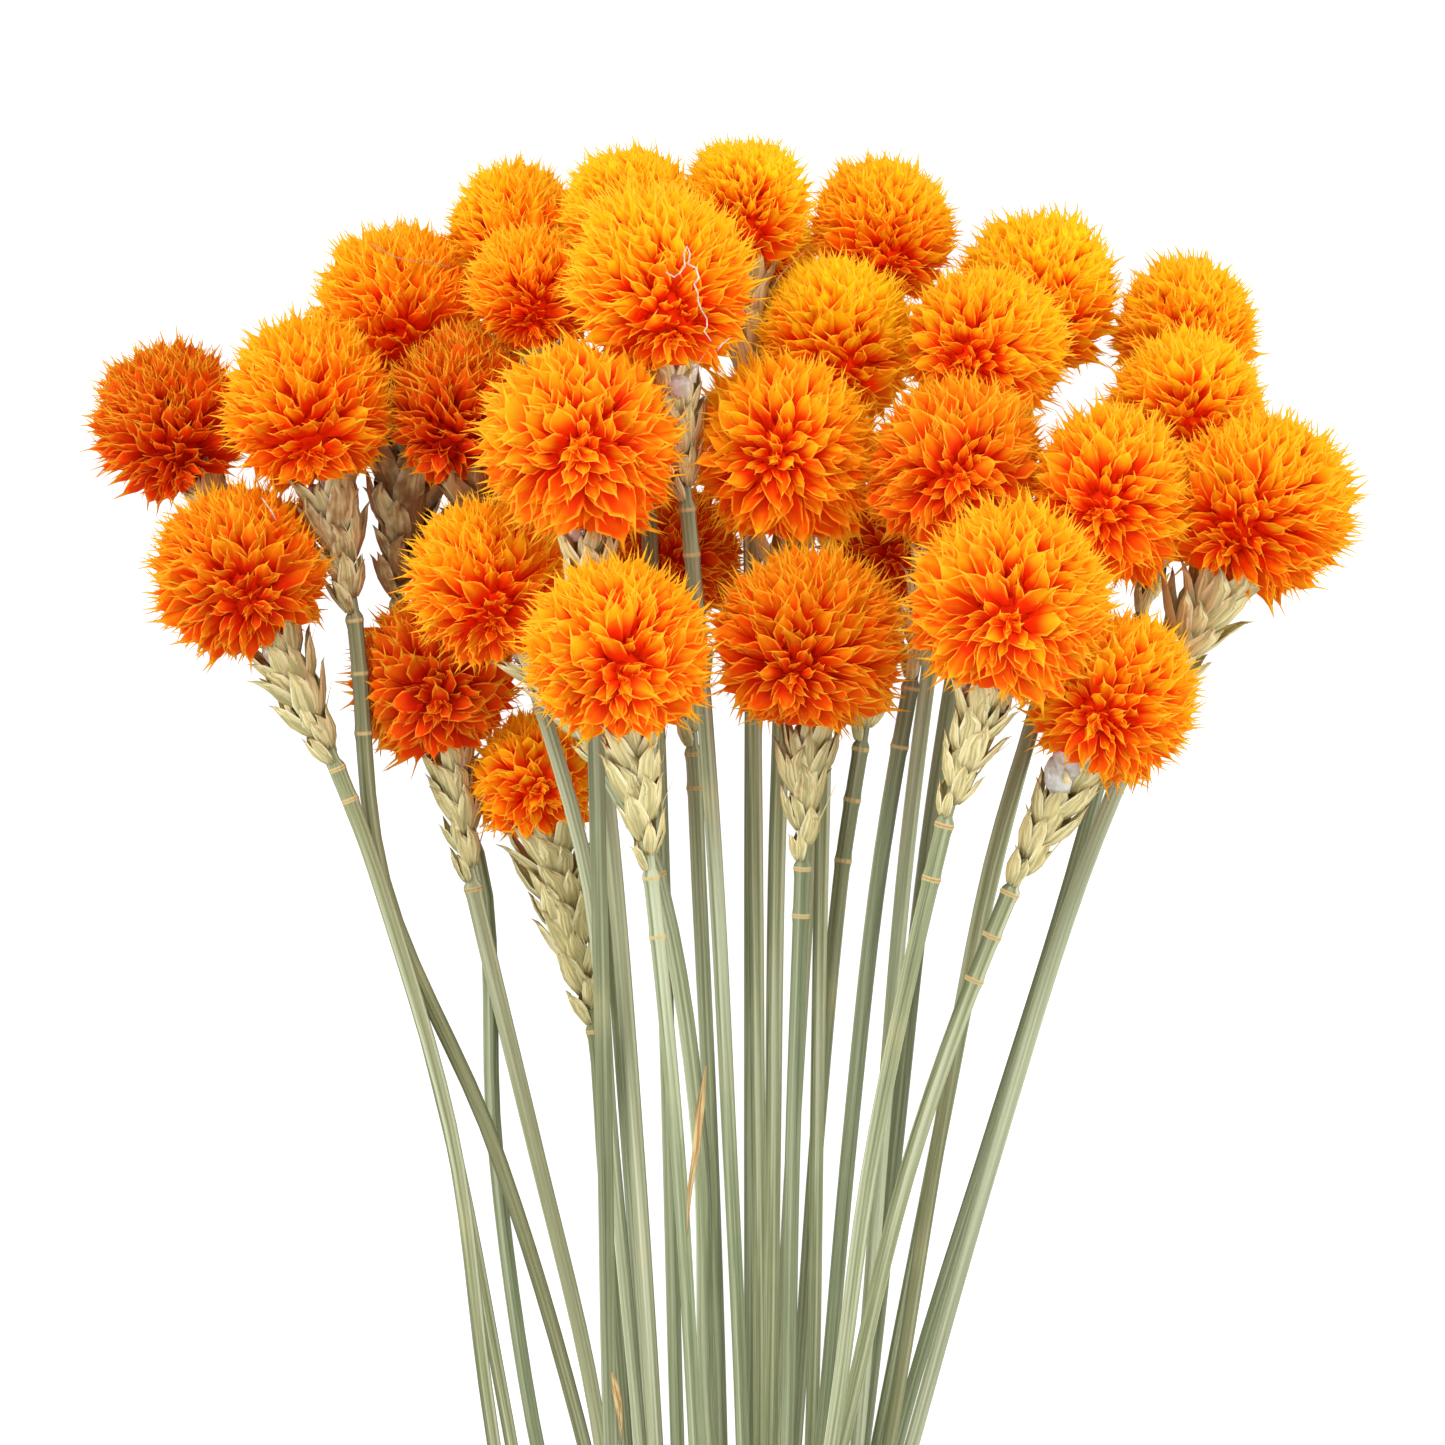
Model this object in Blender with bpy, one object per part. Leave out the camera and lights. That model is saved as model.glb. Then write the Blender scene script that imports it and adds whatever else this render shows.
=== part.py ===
"""A tied bunch of dried globe amaranth heads on straw stems, lying on its back.

Units are millimetres in the tables below and metres in the scene. +X is across the bunch,
+Y runs from the cut ends to the heads, +Z is up. Every bloom, stem and the tie is one closed body.
"""

import math

import bmesh
import bpy
import numpy as np
from mathutils import Vector

# Blooms: number, place across and along, diameter over the tips, where the scar of its own
# stalk shows (across and along, as a share of the radius), where its straw crosses y = 0.
BLOOMS = (
    (1, -75, 137, 20.5, 0.24, -0.72, -29.2),
    (2, -55.5, 139, 23.0, 0.08, -0.72, -18.3),
    (3, -44, 152, 22.5, 0.11, -0.48, -26.4),
    (4, -65, 116.5, 23.0, 0.28, -0.48, -31.3),
    (5, -35, 138.5, 21.0, -0.24, -0.70, -11.9),
    (6, -28, 162, 19.0, 0.10, -0.45, -10.2),
    (7, -12, 163.5, 18.5, 0.12, -0.46, -6.6),
    (8, 3, 165.5, 17.5, 0.06, -0.41, 5.2),
    (9, 21.5, 162.5, 19.5, 0.04, -0.50, 7.6),
    (10, -8, 154.5, 24.5, 0.11, -0.74, 2.8),
    (11, -25.5, 154, 17.0, 0.05, -0.48, -8.8),
    (12, -18.5, 133.5, 26.0, 0.01, -0.14, -15.0),
    (13, -31, 115, 22.0, 0.07, -0.63, -1.6),
    (14, -39, 102.5, 22.5, 0.11, -0.32, -16.8),
    (15, -25.5, 89, 17.5, 0.05, -0.30, -13.4),
    (16, -13.5, 105.5, 24.0, 0.10, -0.41, -3.5),
    (17, 8.5, 132.5, 25.0, -0.19, -0.17, 6.4),
    (18, 11.5, 107, 24.5, -0.23, -0.48, 8.8),
    (19, 15.5, 147.5, 21.5, 0.03, -0.40, 12.2),
    (20, 4.5, 159.5, 16.5, 0.05, -0.40, 4.0),
    (21, 42.5, 153.5, 22.0, 0.00, -0.30, 19.8),
    (22, 35, 146.5, 21.5, -0.35, -0.23, 18.4),
    (23, 31, 130, 23.5, 0.02, -0.17, 13.4),
    (24, 51.5, 126.5, 22.5, -0.23, -0.13, 22.6),
    (25, 38, 112, 25.5, -0.08, -0.26, 14.4),
    (26, 51.5, 99.5, 22.0, -0.26, -0.32, 15.6),
    (27, 63, 149, 19.5, -0.03, -0.34, 21.2),
    (28, 71, 125, 24.5, -0.38, -0.58, 25.3),
    (29, 62.5, 138, 21.0, -0.13, -0.26, 23.9),
    (30, -6.5, 119.5, 18.5, -0.06, -0.20, -0.2),
    (31, 23, 120, 18.5, 0.04, -0.20, 10.0),
)
# Blooms from the back of the bunch to its front, the order in which they come to rest
BACK_TO_FRONT = (
    31, 30, 15, 20, 6, 8, 7, 21, 27, 3, 5, 11, 9, 19, 29, 1,
    22, 28, 24, 26, 14, 23, 4, 2, 10, 13, 17, 12, 18, 16, 25,
)
RESTING = (1, 27)              # the two blooms whose undersides touch the surface
# Ears that lean across in their own way, and straws that cross y = 0 so: across over along
EAR_SWING = {2: 0.20, 4: 0.50, 13: 0.62, 14: 0.18, 28: -0.50, 29: -0.22}
FOOT_SLOPE = {2: -0.28, 3: -0.24}
STUCK = (7, 20, 30)            # straws stuck at their cut ends to the next one

# Bloom
RINGS = 9                      # rings of scales from the scar to the tip
ROUND = 10                     # scales in a ring
CORE = 0.80                    # radius of the head under the tips, as a share of the whole
PRESS = 0.84                   # how close two heads press, as a share of their radii
LEAN = 0.80                    # how far a scale's tip leans to the top of its own cell
REST_DEPTH = 0.88              # height of the lowest blooms over the surface, as a share of the radius
SEAT_DEPTH = 0.84              # distance from a bloom's centre to the flat its straw meets
LIFT = 0.5                     # clearance of everything else above the surface

# Straw stems
SIDES = 6
TIE_Y = -120.0
TIE_REACH = 5.0                # the straws run straight this far to both sides of TIE_Y
CUT_Y = -225.0
STATIONS = (-225, -125, -115, -70, -30, 5, 40, 75, 105)
STEM_RADII = (0.92, 1.10)
EAR_LENGTH = 19.0
EAR_RADIUS = 2.7
EAR_BULGE = 1.0
EAR_LEAN = 0.5
# Along the ear from its foot (1) to its tip (0), and its radius there as a share of EAR_RADIUS
EAR_PROFILE = ((1.0, 0.62), (0.72, 1.0), (0.42, 1.0), (0.16, 0.95), (0.0, 0.78))
SLOT = 2.55                    # spacing of the straws inside the tie
FAN = 0.34                     # width of the bunch at the tie over its width at y = 0
FOOT_LEAN = (0.80, 0.0075)     # slope of a straw at y = 0 over the straight way's, and its change across
GAP = 0.3                      # clearance of pieces that touch

# Tie
TWINE_RADIUS = 1.1
WRAPS = 3
TIE_SIDES = 20

RNG = np.random.default_rng(29)
MM = 0.001


def unit(v):
    v = np.asarray(v, float)
    return v / np.linalg.norm(v)


def stem_direction(bloom):
    """From a bloom's centre to its straw: down the bunch, towards the foot, a little behind."""
    _, x, y, _, _, _, foot = bloom
    across = float(np.clip(1.8 * (foot - x) / (y + 25.0), -0.62, 0.62))
    return unit((EAR_SWING.get(bloom[0], across), -1.0, -0.16))


def spheres(bloom, z):
    """A bloom and its ear as a chain of spheres: centres and radii."""
    _, x, y, d, _, _, _ = bloom
    radius = d / 2
    centre = np.array((x, y, z))
    s = stem_direction(bloom)
    chain = [(centre, PRESS * radius)]
    for along in (3.5, 10.0, 16.5):
        chain.append((centre + s * (SEAT_DEPTH * radius + along), EAR_RADIUS + 0.4))
    return chain


def lay_blooms():
    """Height of each bloom: laid one after another, each as low as what lies under it allows."""
    rows = {b[0]: b for b in BLOOMS}
    laid = []
    heights = {}
    for number in BACK_TO_FRONT:
        bloom = rows[number]
        radius = bloom[3] / 2
        z = REST_DEPTH * radius if number in RESTING else REST_DEPTH * radius + LIFT
        mine = spheres(bloom, 0.0)
        for centre, r in mine[1:]:
            z = max(z, r + LIFT - centre[2])
        for centre, r in mine:
            for other, q in laid:
                reach = r + q + GAP
                flat = math.hypot(centre[0] - other[0], centre[1] - other[1])
                if flat < reach:
                    z = max(z, other[2] + math.sqrt(reach ** 2 - flat ** 2) - centre[2])
        heights[number] = z
        laid += spheres(bloom, z)
    return heights


def tie_slots(count):
    """Places of the straws in the tie: the closest hexagonal packing round the middle."""
    places = []
    for i in range(-4, 5):
        for j in range(-4, 5):
            places.append((SLOT * (i + j / 2), SLOT * j * math.sqrt(3) / 2))
    places.sort(key=lambda p: (round(math.hypot(*p), 3), p))
    return np.array(places[:count])


def assign_slots(wanted, slots):
    """One slot for each straw, swapped in pairs for as long as that brings them nearer."""
    order = np.argsort(wanted[:, 0], kind="stable")
    columns = np.lexsort((slots[:, 1], slots[:, 0]))
    chosen = np.empty(len(wanted), int)
    chosen[order] = columns
    cost = ((wanted[:, None, :] - slots[None, :, :]) ** 2).sum(-1)
    swapped = True
    while swapped:
        swapped = False
        for a in range(len(chosen)):
            for b in range(a):
                now = cost[a, chosen[a]] + cost[b, chosen[b]]
                then = cost[a, chosen[b]] + cost[b, chosen[a]]
                if then < now - 1e-9:
                    chosen[a], chosen[b] = chosen[b], chosen[a]
                    swapped = True
    return slots[chosen]


def hermite(y, y0, y1, p0, p1, m0, m1):
    h = y1 - y0
    t = (y - y0) / h
    return (
        (2 * t ** 3 - 3 * t ** 2 + 1) * p0
        + (t ** 3 - 2 * t ** 2 + t) * h * m0
        + (-2 * t ** 3 + 3 * t ** 2) * p1
        + (t ** 3 - t ** 2) * h * m1
    )


class Stem:
    """One straw: stations at its own heights along Y, with an ear up to its bloom."""

    def __init__(self, bloom, z, slot, tie_z, radius):
        self.number = bloom[0]
        self.radius = radius
        self.s = stem_direction(bloom)
        self.centre = np.array((bloom[1], bloom[2], z))
        self.tip = self.centre + self.s * (SEAT_DEPTH * bloom[3] / 2 + GAP)
        self.ear = self.tip + self.s * EAR_LENGTH
        last = self.ear[1]
        ys = [y for y in STATIONS if y < last - 9.0]
        self.ys = np.array(ys + [last])
        foot = bloom[6]
        start = TIE_Y + TIE_REACH
        lean_x = (foot - slot[0]) / -start
        straight = (self.ear[0] - foot) / last
        foot_lean = FOOT_SLOPE.get(bloom[0], straight * (FOOT_LEAN[0] + FOOT_LEAN[1] * foot))
        lean_z = 0.7 * (self.ear[2] - tie_z - slot[1]) / (last - start)
        points = []
        for y in self.ys:
            if y >= start:
                if y < 0:
                    x = hermite(y, start, 0, slot[0], foot, lean_x, foot_lean)
                else:
                    x = hermite(y, 0, last, foot, self.ear[0], foot_lean, self.s[0] / self.s[1])
                h = hermite(y, start, last, tie_z + slot[1], self.ear[2], lean_z, self.s[2] / self.s[1])
            else:
                t = (TIE_Y - TIE_REACH - y) / (TIE_Y - TIE_REACH - CUT_Y)
                x = slot[0] * (1 + 0.75 * t)
                h = tie_z + slot[1] * (1 + 0.12 * t)
            points.append((x, h))
        self.points = np.array(points)
        self.wanted = self.points.copy()
        self.free = np.ones(len(self.ys))
        self.free[-1] = 0.0
        self.free[np.abs(self.ys - TIE_Y) <= TIE_REACH] = 0.0

    def weights(self, planes):
        """How each plane along Y reads the stations, and nothing where the straw has ended."""
        table = np.zeros((len(planes), len(self.ys)))
        for row, y in enumerate(planes):
            if self.ys[0] <= y <= self.ys[-1]:
                k = min(int(np.searchsorted(self.ys, y, side="right")) - 1, len(self.ys) - 2)
                t = (y - self.ys[k]) / (self.ys[k + 1] - self.ys[k])
                table[row, k] = 1 - t
                table[row, k + 1] = t
        return table


def route_stems(heights):
    """Lead every straw from its place in the tie to its bloom, clear of all the others."""
    rows = {b[0]: b for b in BLOOMS}
    numbers = sorted(rows)
    slots = tie_slots(len(numbers))
    bundle = np.hypot(slots[:, 0], slots[:, 1]).max() + STEM_RADII[1]
    outside = bundle + GAP + TWINE_RADIUS * (0.8 + math.sin(math.radians(70)))
    tie_z = outside * math.cos(math.pi / TIE_SIDES)
    mean = sum(heights.values()) / len(heights)
    wanted = np.array([(FAN * rows[n][6], 0.33 * (heights[n] - mean)) for n in numbers])
    placed = assign_slots(wanted, slots)
    radii = RNG.uniform(*STEM_RADII, len(numbers))
    stems = [
        Stem(rows[n], heights[n], placed[k], tie_z, radii[k])
        for k, n in enumerate(numbers)
    ]
    planes = np.arange(CUT_Y, 160.0, 3.0)
    tables = [s.weights(planes) for s in stems]
    spans = np.array([t.sum(1) > 0 for t in tables])
    centres = np.array([(rows[n][1], rows[n][2], heights[n]) for n in numbers])
    reach = np.array([PRESS * rows[n][3] / 2 for n in numbers])
    ears = []
    for k, n in enumerate(numbers):
        for centre, r in spheres(rows[n], heights[n])[1:]:
            ears.append((k, centre, r))
    ball_at = np.array([c for c in centres] + [e[1] for e in ears])
    ball_r = np.array(list(reach) + [e[2] for e in ears])
    ball_of = np.array(list(range(len(numbers))) + [e[0] for e in ears])
    for step in range(700):
        lines = np.array([t @ s.points for t, s in zip(tables, stems)])
        push = np.zeros_like(lines)
        d = lines[:, None] - lines[None, :]
        far = np.linalg.norm(d, axis=-1) + 1e-9
        need = (radii[:, None] + radii[None, :])[:, :, None] + GAP + 0.05
        short = np.clip(need - far, 0, None) * (spans[:, None] & spans[None, :])
        short[np.arange(len(stems)), np.arange(len(stems))] = 0
        push += ((0.5 * short / far)[..., None] * d).sum(1)
        dx = lines[:, :, None, 0] - ball_at[None, None, :, 0]
        dz = lines[:, :, None, 1] - ball_at[None, None, :, 2]
        dy = planes[None, :, None] - ball_at[None, None, :, 1]
        dist = np.sqrt(dx ** 2 + dy ** 2 + dz ** 2) + 1e-9
        deep = np.clip(ball_r[None, None, :] + radii[:, None, None] + GAP + 0.1 - dist, 0, None)
        deep *= spans[:, :, None]
        own = ball_of[None, :] == np.arange(len(stems))[:, None]
        deep *= ~own[:, None, :]
        flat = np.sqrt(dx ** 2 + dz ** 2) + 1e-9
        push[..., 0] += (deep * dx / flat).sum(-1)
        push[..., 1] += (deep * dz / flat).sum(-1)
        low = np.clip(radii[:, None] + LIFT - lines[..., 1], 0, None) * spans
        push[..., 1] += low
        worst = 0.0
        for k, stem in enumerate(stems):
            share = tables[k]
            total = (share ** 2).sum(0) + 1e-9
            moved = (share.T @ push[k]) / total[:, None]
            stem.points += 0.55 * moved * stem.free[:, None]
            if step < 520:
                bend = stem.points - stem.wanted
                smooth = np.zeros_like(bend)
                y = stem.ys
                for j in range(1, len(y) - 1):
                    t = (y[j] - y[j - 1]) / (y[j + 1] - y[j - 1])
                    smooth[j] = bend[j - 1] * (1 - t) + bend[j + 1] * t - bend[j]
                stem.points += 0.10 * smooth * stem.free[:, None]
            worst = max(worst, float(np.abs(push[k]).max()))
    return stems, worst, tie_z, bundle


def stick(stems):
    """Press three straws onto their nearest neighbours at the cut end; returns the pairs."""
    pairs = []
    alone = [s for s in stems if s.number not in STUCK]
    for number in STUCK:
        one = next(s for s in stems if s.number == number)
        two = min(alone, key=lambda s: np.linalg.norm(s.points[0] - one.points[0]))
        alone.remove(two)
        middle = (one.points[0] + two.points[0]) / 2
        side = unit(two.points[0] - one.points[0])
        half = (one.radius + two.radius) / 2 - 0.25
        one.points[0] = middle - side * half
        two.points[0] = middle + side * half
        pairs.append((number, two.number))
    return pairs


def globe_directions():
    """Staggered rings of directions from the scar (+Z here) to the tip, and the scales' cells."""
    angles = [math.radians(13 + (171 - 13) * (k / RINGS) ** 0.97) for k in range(RINGS + 1)]
    rings = []
    for k, theta in enumerate(angles):
        ring = []
        for j in range(ROUND):
            phi = 2 * math.pi * (j + k / 2) / ROUND
            ring.append(Vector((
                math.sin(theta) * math.cos(phi),
                math.sin(theta) * math.sin(phi),
                math.cos(theta),
            )))
        rings.append(ring)
    return rings


def bloom_mesh(bloom, centre, planes):
    """A star-shaped head: a lattice of cells round a globe, each raised to a leaning tip."""
    number, _, _, diameter, face_x, face_y, _ = bloom
    radius = diameter / 2
    rng = np.random.default_rng(1000 + number)
    face_z = math.sqrt(max(0.05, 1 - face_x ** 2 - face_y ** 2))
    turn = Vector((0, 0, 1)).rotation_difference(Vector((face_x, face_y, face_z)))
    rings = globe_directions()
    bm = bmesh.new()

    def place(direction, reach):
        world = turn @ direction.normalized()
        for normal, height in planes:
            facing = world.x * normal[0] + world.y * normal[1] + world.z * normal[2]
            if facing > 0.05:
                reach = min(reach, height / facing)
        return bm.verts.new(world * reach)

    grid = []
    for k, ring in enumerate(rings):
        row = []
        for direction in ring:
            row.append(place(direction, radius * CORE * rng.uniform(0.96, 1.03)))
        grid.append(row)
    scar = place(Vector((0, 0, 1)), radius * CORE * 0.86)
    crown = place(Vector((0, 0, -1)), radius * CORE * 1.02)
    for j in range(ROUND):
        after = (j + 1) % ROUND
        bm.faces.new((scar, grid[0][j], grid[0][after]))
        bm.faces.new((crown, grid[RINGS][after], grid[RINGS][j]))
        bm.faces.new((grid[0][after], grid[0][j], grid[1][j]))
        bm.faces.new((grid[RINGS][j], grid[RINGS][after], grid[RINGS - 1][after]))
    for k in range(1, RINGS):
        for j in range(ROUND):
            near = rings[k - 1][j]
            far = rings[k + 1][(j - 1) % ROUND]
            left = grid[k][(j - 1) % ROUND]
            right = grid[k][j]
            middle = (rings[k][j] + rings[k][(j - 1) % ROUND]).normalized()
            lean = LEAN * rng.uniform(0.75, 1.1)
            tip_way = middle.lerp(far, min(lean, 0.9))
            tip = place(tip_way, radius * rng.uniform(0.93, 1.0))
            cell = (grid[k - 1][j], right, grid[k + 1][(j - 1) % ROUND], left)
            for a in range(4):
                bm.faces.new((cell[a], cell[(a + 1) % 4], tip))
    bmesh.ops.recalc_face_normals(bm, faces=bm.faces)
    bmesh.ops.translate(bm, vec=Vector(centre), verts=bm.verts)
    return bm


def bloom_planes(index, stems, heights):
    """What a bloom is pressed flat by: the surface, its neighbours, the straws and its seat."""
    rows = {b[0]: b for b in BLOOMS}
    stem = stems[index]
    number = stem.number
    centre = stem.centre
    radius = rows[number][3] / 2
    floor = 0.0 if number in RESTING else LIFT
    planes = [((0, 0, -1), centre[2] - floor)]
    planes.append((tuple(stem.s), SEAT_DEPTH * radius))
    for other in stems:
        if other.number != number:
            way = other.centre - centre
            far = np.linalg.norm(way)
            q = rows[other.number][3] / 2
            if far < radius + q + GAP:
                share = (far ** 2 + radius ** 2 - q ** 2) / (2 * far)
                planes.append((tuple(way / far), share - GAP / 2))
            planes += tube_planes(centre, radius, other)
    return planes


def tube_planes(centre, radius, stem):
    """The plane between a bloom and a straw that passes it, and one for its ear."""
    found = []
    ys = np.arange(stem.ys[0], stem.ys[-1], 1.0)
    line = np.column_stack((
        np.interp(ys, stem.ys, stem.points[:, 0]),
        ys,
        np.interp(ys, stem.ys, stem.points[:, 1]),
    ))
    steps = np.linspace(0, 1, 12)[:, None]
    ear = stem.tip + (stem.ear - stem.tip) * steps
    for samples, r in ((line, stem.radius), (ear, EAR_RADIUS + EAR_BULGE)):
        way = samples - centre
        far = np.linalg.norm(way, axis=1)
        near = far < radius + r + 2.0
        if near.any():
            normal = way[far.argmin()] / far.min()
            height = (way[near] @ normal).min() - r - GAP
            if height < radius:
                found.append((tuple(normal), height))
    return found


def skin(bm, lower, upper):
    """Join two rings of as many vertices by a band of faces."""
    for j in range(len(lower)):
        after = (j + 1) % len(lower)
        bm.faces.new((lower[j], lower[after], upper[after], upper[j]))


def stem_mesh(stem):
    """A six-sided tube with rings across Y, then the scaled ear along its own slanting line."""
    bm = bmesh.new()
    rings = []
    for k, y in enumerate(stem.ys[:-1]):
        x, z = stem.points[k]
        ring = []
        for j in range(SIDES):
            a = 2 * math.pi * (j + 0.5) / SIDES
            ring.append(bm.verts.new((x + stem.radius * math.cos(a), y, z + stem.radius * math.sin(a))))
        rings.append(ring)
    bm.faces.new(rings[0])
    for lower, upper in zip(rings, rings[1:]):
        skin(bm, lower, upper)
    ear_mesh(bm, stem, rings[-1])
    bmesh.ops.recalc_face_normals(bm, faces=bm.faces)
    return bm


def ear_mesh(bm, stem, neck):
    """The stub of the ear: staggered cells round a spindle, each raised to a leaning tip."""
    s = Vector(stem.s)
    side = (Vector((1, 0, 0)) - s * s.x).normalized()
    other = side.cross(s)
    if other.z < 0:
        other = -other
    rows = []
    for level, (share, width) in enumerate(EAR_PROFILE):
        centre = Vector(stem.tip) + s * EAR_LENGTH * share
        row = []
        for j in range(SIDES):
            a = 2 * math.pi * (j + 0.5 + level / 2) / SIDES
            row.append(bm.verts.new(centre + EAR_RADIUS * width * (side * math.cos(a) + other * math.sin(a))))
        rows.append(row)
    skin(bm, neck, rows[0])
    bm.faces.new(rows[-1])
    for j in range(SIDES):
        after = (j + 1) % SIDES
        bm.faces.new((rows[0][j], rows[0][after], rows[1][j]))
        bm.faces.new((rows[-1][j], rows[-1][after], rows[-2][after]))
    for level in range(1, len(rows) - 1):
        for j in range(SIDES):
            before = (j - 1) % SIDES
            low = rows[level - 1][j]
            right = rows[level][j]
            left = rows[level][before]
            high = rows[level + 1][before]
            middle = (left.co + right.co) / 2
            axis = Vector(stem.tip) + s * (middle - Vector(stem.tip)).dot(s)
            out = (middle - axis).normalized()
            tip = bm.verts.new(middle + out * EAR_BULGE + (high.co - middle) * EAR_LEAN)
            for a, b in ((low, right), (right, high), (high, left), (left, low)):
                bm.faces.new((a, b, tip))


def tie_mesh(tie_z, bundle):
    """Three wraps of twine round the straws, as one ring with a rounded wavy outside."""
    inner = bundle + GAP
    around = TIE_SIDES
    pitch = 1.9 * TWINE_RADIUS
    half = WRAPS * pitch / 2
    outline = [(-half, inner), (half, inner)]
    for wrap in range(WRAPS):
        middle = half - pitch * (wrap + 0.5)
        for turn in (25, 70, 110, 155):
            a = math.radians(turn)
            outline.append((
                middle + TWINE_RADIUS * 0.95 * math.cos(a),
                inner + TWINE_RADIUS * (0.8 + math.sin(a)),
            ))
    bm = bmesh.new()
    rings = []
    for k in range(around):
        a = 2 * math.pi * (k + 0.5) / around
        ring = []
        for along, out in outline:
            ring.append(bm.verts.new((out * math.cos(a), TIE_Y + along, tie_z + out * math.sin(a))))
        rings.append(ring)
    for lower, upper in zip(rings, rings[1:] + rings[:1]):
        skin(bm, lower, upper)
    bmesh.ops.recalc_face_normals(bm, faces=bm.faces)
    return bm


def material(name, colour, roughness):
    mat = bpy.data.materials.new(name)
    mat.use_nodes = True
    shader = mat.node_tree.nodes["Principled BSDF"]
    shader.inputs["Base Color"].default_value = (*colour, 1.0)
    shader.inputs["Roughness"].default_value = roughness
    shader.inputs["Metallic"].default_value = 0.0
    mat.diffuse_color = (*colour, 1.0)
    return mat


def make_object(name, bm, colour, roughness, origin):
    """An object in metres, its own origin at the given point and the bunch's origin below it."""
    bmesh.ops.translate(bm, vec=-Vector(origin), verts=bm.verts)
    bmesh.ops.scale(bm, vec=(MM, MM, MM), verts=bm.verts)
    mesh = bpy.data.meshes.new(name)
    bm.to_mesh(mesh)
    bm.free()
    obj = bpy.data.objects.new(name, mesh)
    obj.location = Vector(origin) * MM
    mesh.materials.append(material(name, colour, roughness))
    bpy.context.collection.objects.link(obj)
    return obj


def fuse(keep, other):
    """Join two straws that stick together into one closed body."""
    union = keep.modifiers.new("stuck", "BOOLEAN")
    union.operation = "UNION"
    union.object = other
    other.hide_render = True
    other.display_type = "WIRE"
    bpy.context.view_layer.update()
    depsgraph = bpy.context.evaluated_depsgraph_get()
    joined = bpy.data.meshes.new_from_object(keep.evaluated_get(depsgraph))
    keep.modifiers.clear()
    keep.data = joined
    bpy.data.objects.remove(other)


def main():
    for obj in list(bpy.data.objects):
        bpy.data.objects.remove(obj)
    heights = lay_blooms()
    stems, worst, tie_z, bundle = route_stems(heights)
    print(f"worst overlap left by the routing: {worst:.2f} mm")
    pairs = stick(stems)
    straws = {}
    for index, stem in enumerate(stems):
        planes = bloom_planes(index, stems, heights)
        row = next(b for b in BLOOMS if b[0] == stem.number)
        bm = bloom_mesh(row, stem.centre, planes)
        tone = (0.95, 0.27, 0.01)
        make_object(f"bloom_{stem.number:02d}", bm, tone, 0.7, stem.centre)
        name = f"stem_{stem.number:02d}"
        start = (stem.points[0][0], CUT_Y, stem.points[0][1])
        straws[stem.number] = make_object(name, stem_mesh(stem), (0.42, 0.42, 0.26), 0.6, start)
    for a, b in pairs:
        fuse(straws[a], straws[b])
        straws[a].name = f"stems_{a:02d}_{b:02d}"
    make_object("tie", tie_mesh(tie_z, bundle), (0.45, 0.33, 0.18), 0.9, (0, TIE_Y, tie_z))
    settle()


def settle():
    """Put the middle of the bunch's underside at the world's origin."""
    bpy.context.view_layer.update()
    corners = []
    for obj in bpy.data.objects:
        corners += [obj.matrix_world @ v.co for v in obj.data.vertices]
    low = [min(c[k] for c in corners) for k in range(3)]
    high = [max(c[k] for c in corners) for k in range(3)]
    shift = Vector(((low[0] + high[0]) / 2, (low[1] + high[1]) / 2, low[2]))
    for obj in bpy.data.objects:
        obj.location -= shift
    bpy.context.view_layer.update()
    print("size", [round((high[k] - low[k]) / MM, 1) for k in range(3)])
    print("triangles", sum(len(p.vertices) - 2 for o in bpy.data.objects for p in o.data.polygons))


main()
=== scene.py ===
"""Looks of a dried globe amaranth bouquet: papery orange heads on straws, tied with twine, lying on its back.

The file is laid out as an add-on: an operator for each group of pieces, and a sidebar panel that lists them.
"""

import math
import random

import bmesh
import bpy
import numpy as np
from bpy.props import FloatProperty, FloatVectorProperty, IntProperty, PointerProperty
from mathutils import Matrix, Vector
from numpy.linalg import norm


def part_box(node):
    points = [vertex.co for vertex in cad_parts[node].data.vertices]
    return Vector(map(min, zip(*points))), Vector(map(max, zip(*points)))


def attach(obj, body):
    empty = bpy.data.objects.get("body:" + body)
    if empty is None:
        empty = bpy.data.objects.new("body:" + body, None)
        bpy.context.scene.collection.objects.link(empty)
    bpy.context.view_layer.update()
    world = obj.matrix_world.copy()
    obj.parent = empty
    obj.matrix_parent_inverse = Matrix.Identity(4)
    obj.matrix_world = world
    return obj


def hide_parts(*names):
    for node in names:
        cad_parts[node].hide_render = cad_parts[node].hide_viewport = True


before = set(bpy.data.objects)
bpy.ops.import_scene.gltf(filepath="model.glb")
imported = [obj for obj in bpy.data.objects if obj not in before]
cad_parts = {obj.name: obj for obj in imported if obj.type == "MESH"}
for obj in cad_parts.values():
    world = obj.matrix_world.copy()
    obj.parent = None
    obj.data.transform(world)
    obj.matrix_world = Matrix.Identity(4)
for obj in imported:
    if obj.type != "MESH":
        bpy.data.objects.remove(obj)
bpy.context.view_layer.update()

bl_info = {
    "name": "Dried Globe Amaranth Bouquet",
    "version": (1, 0, 0),
    "blender": (4, 5, 0),
    "location": "View3D > Sidebar > Bouquet",
    "description": "Bracts, straws, ears of chaff, glue and twine of a dried globe amaranth bouquet",
    "category": "Object",
}

# The photograph's frame: the point in its middle, its width there, and the camera's height above that point
PICTURE_MIDDLE = Vector((0.00106, 0.1220, 0.030))
PICTURE_WIDTH = 0.1926
PICTURE_PIXELS = 1445
CAMERA_REACH = 1.2

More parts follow.
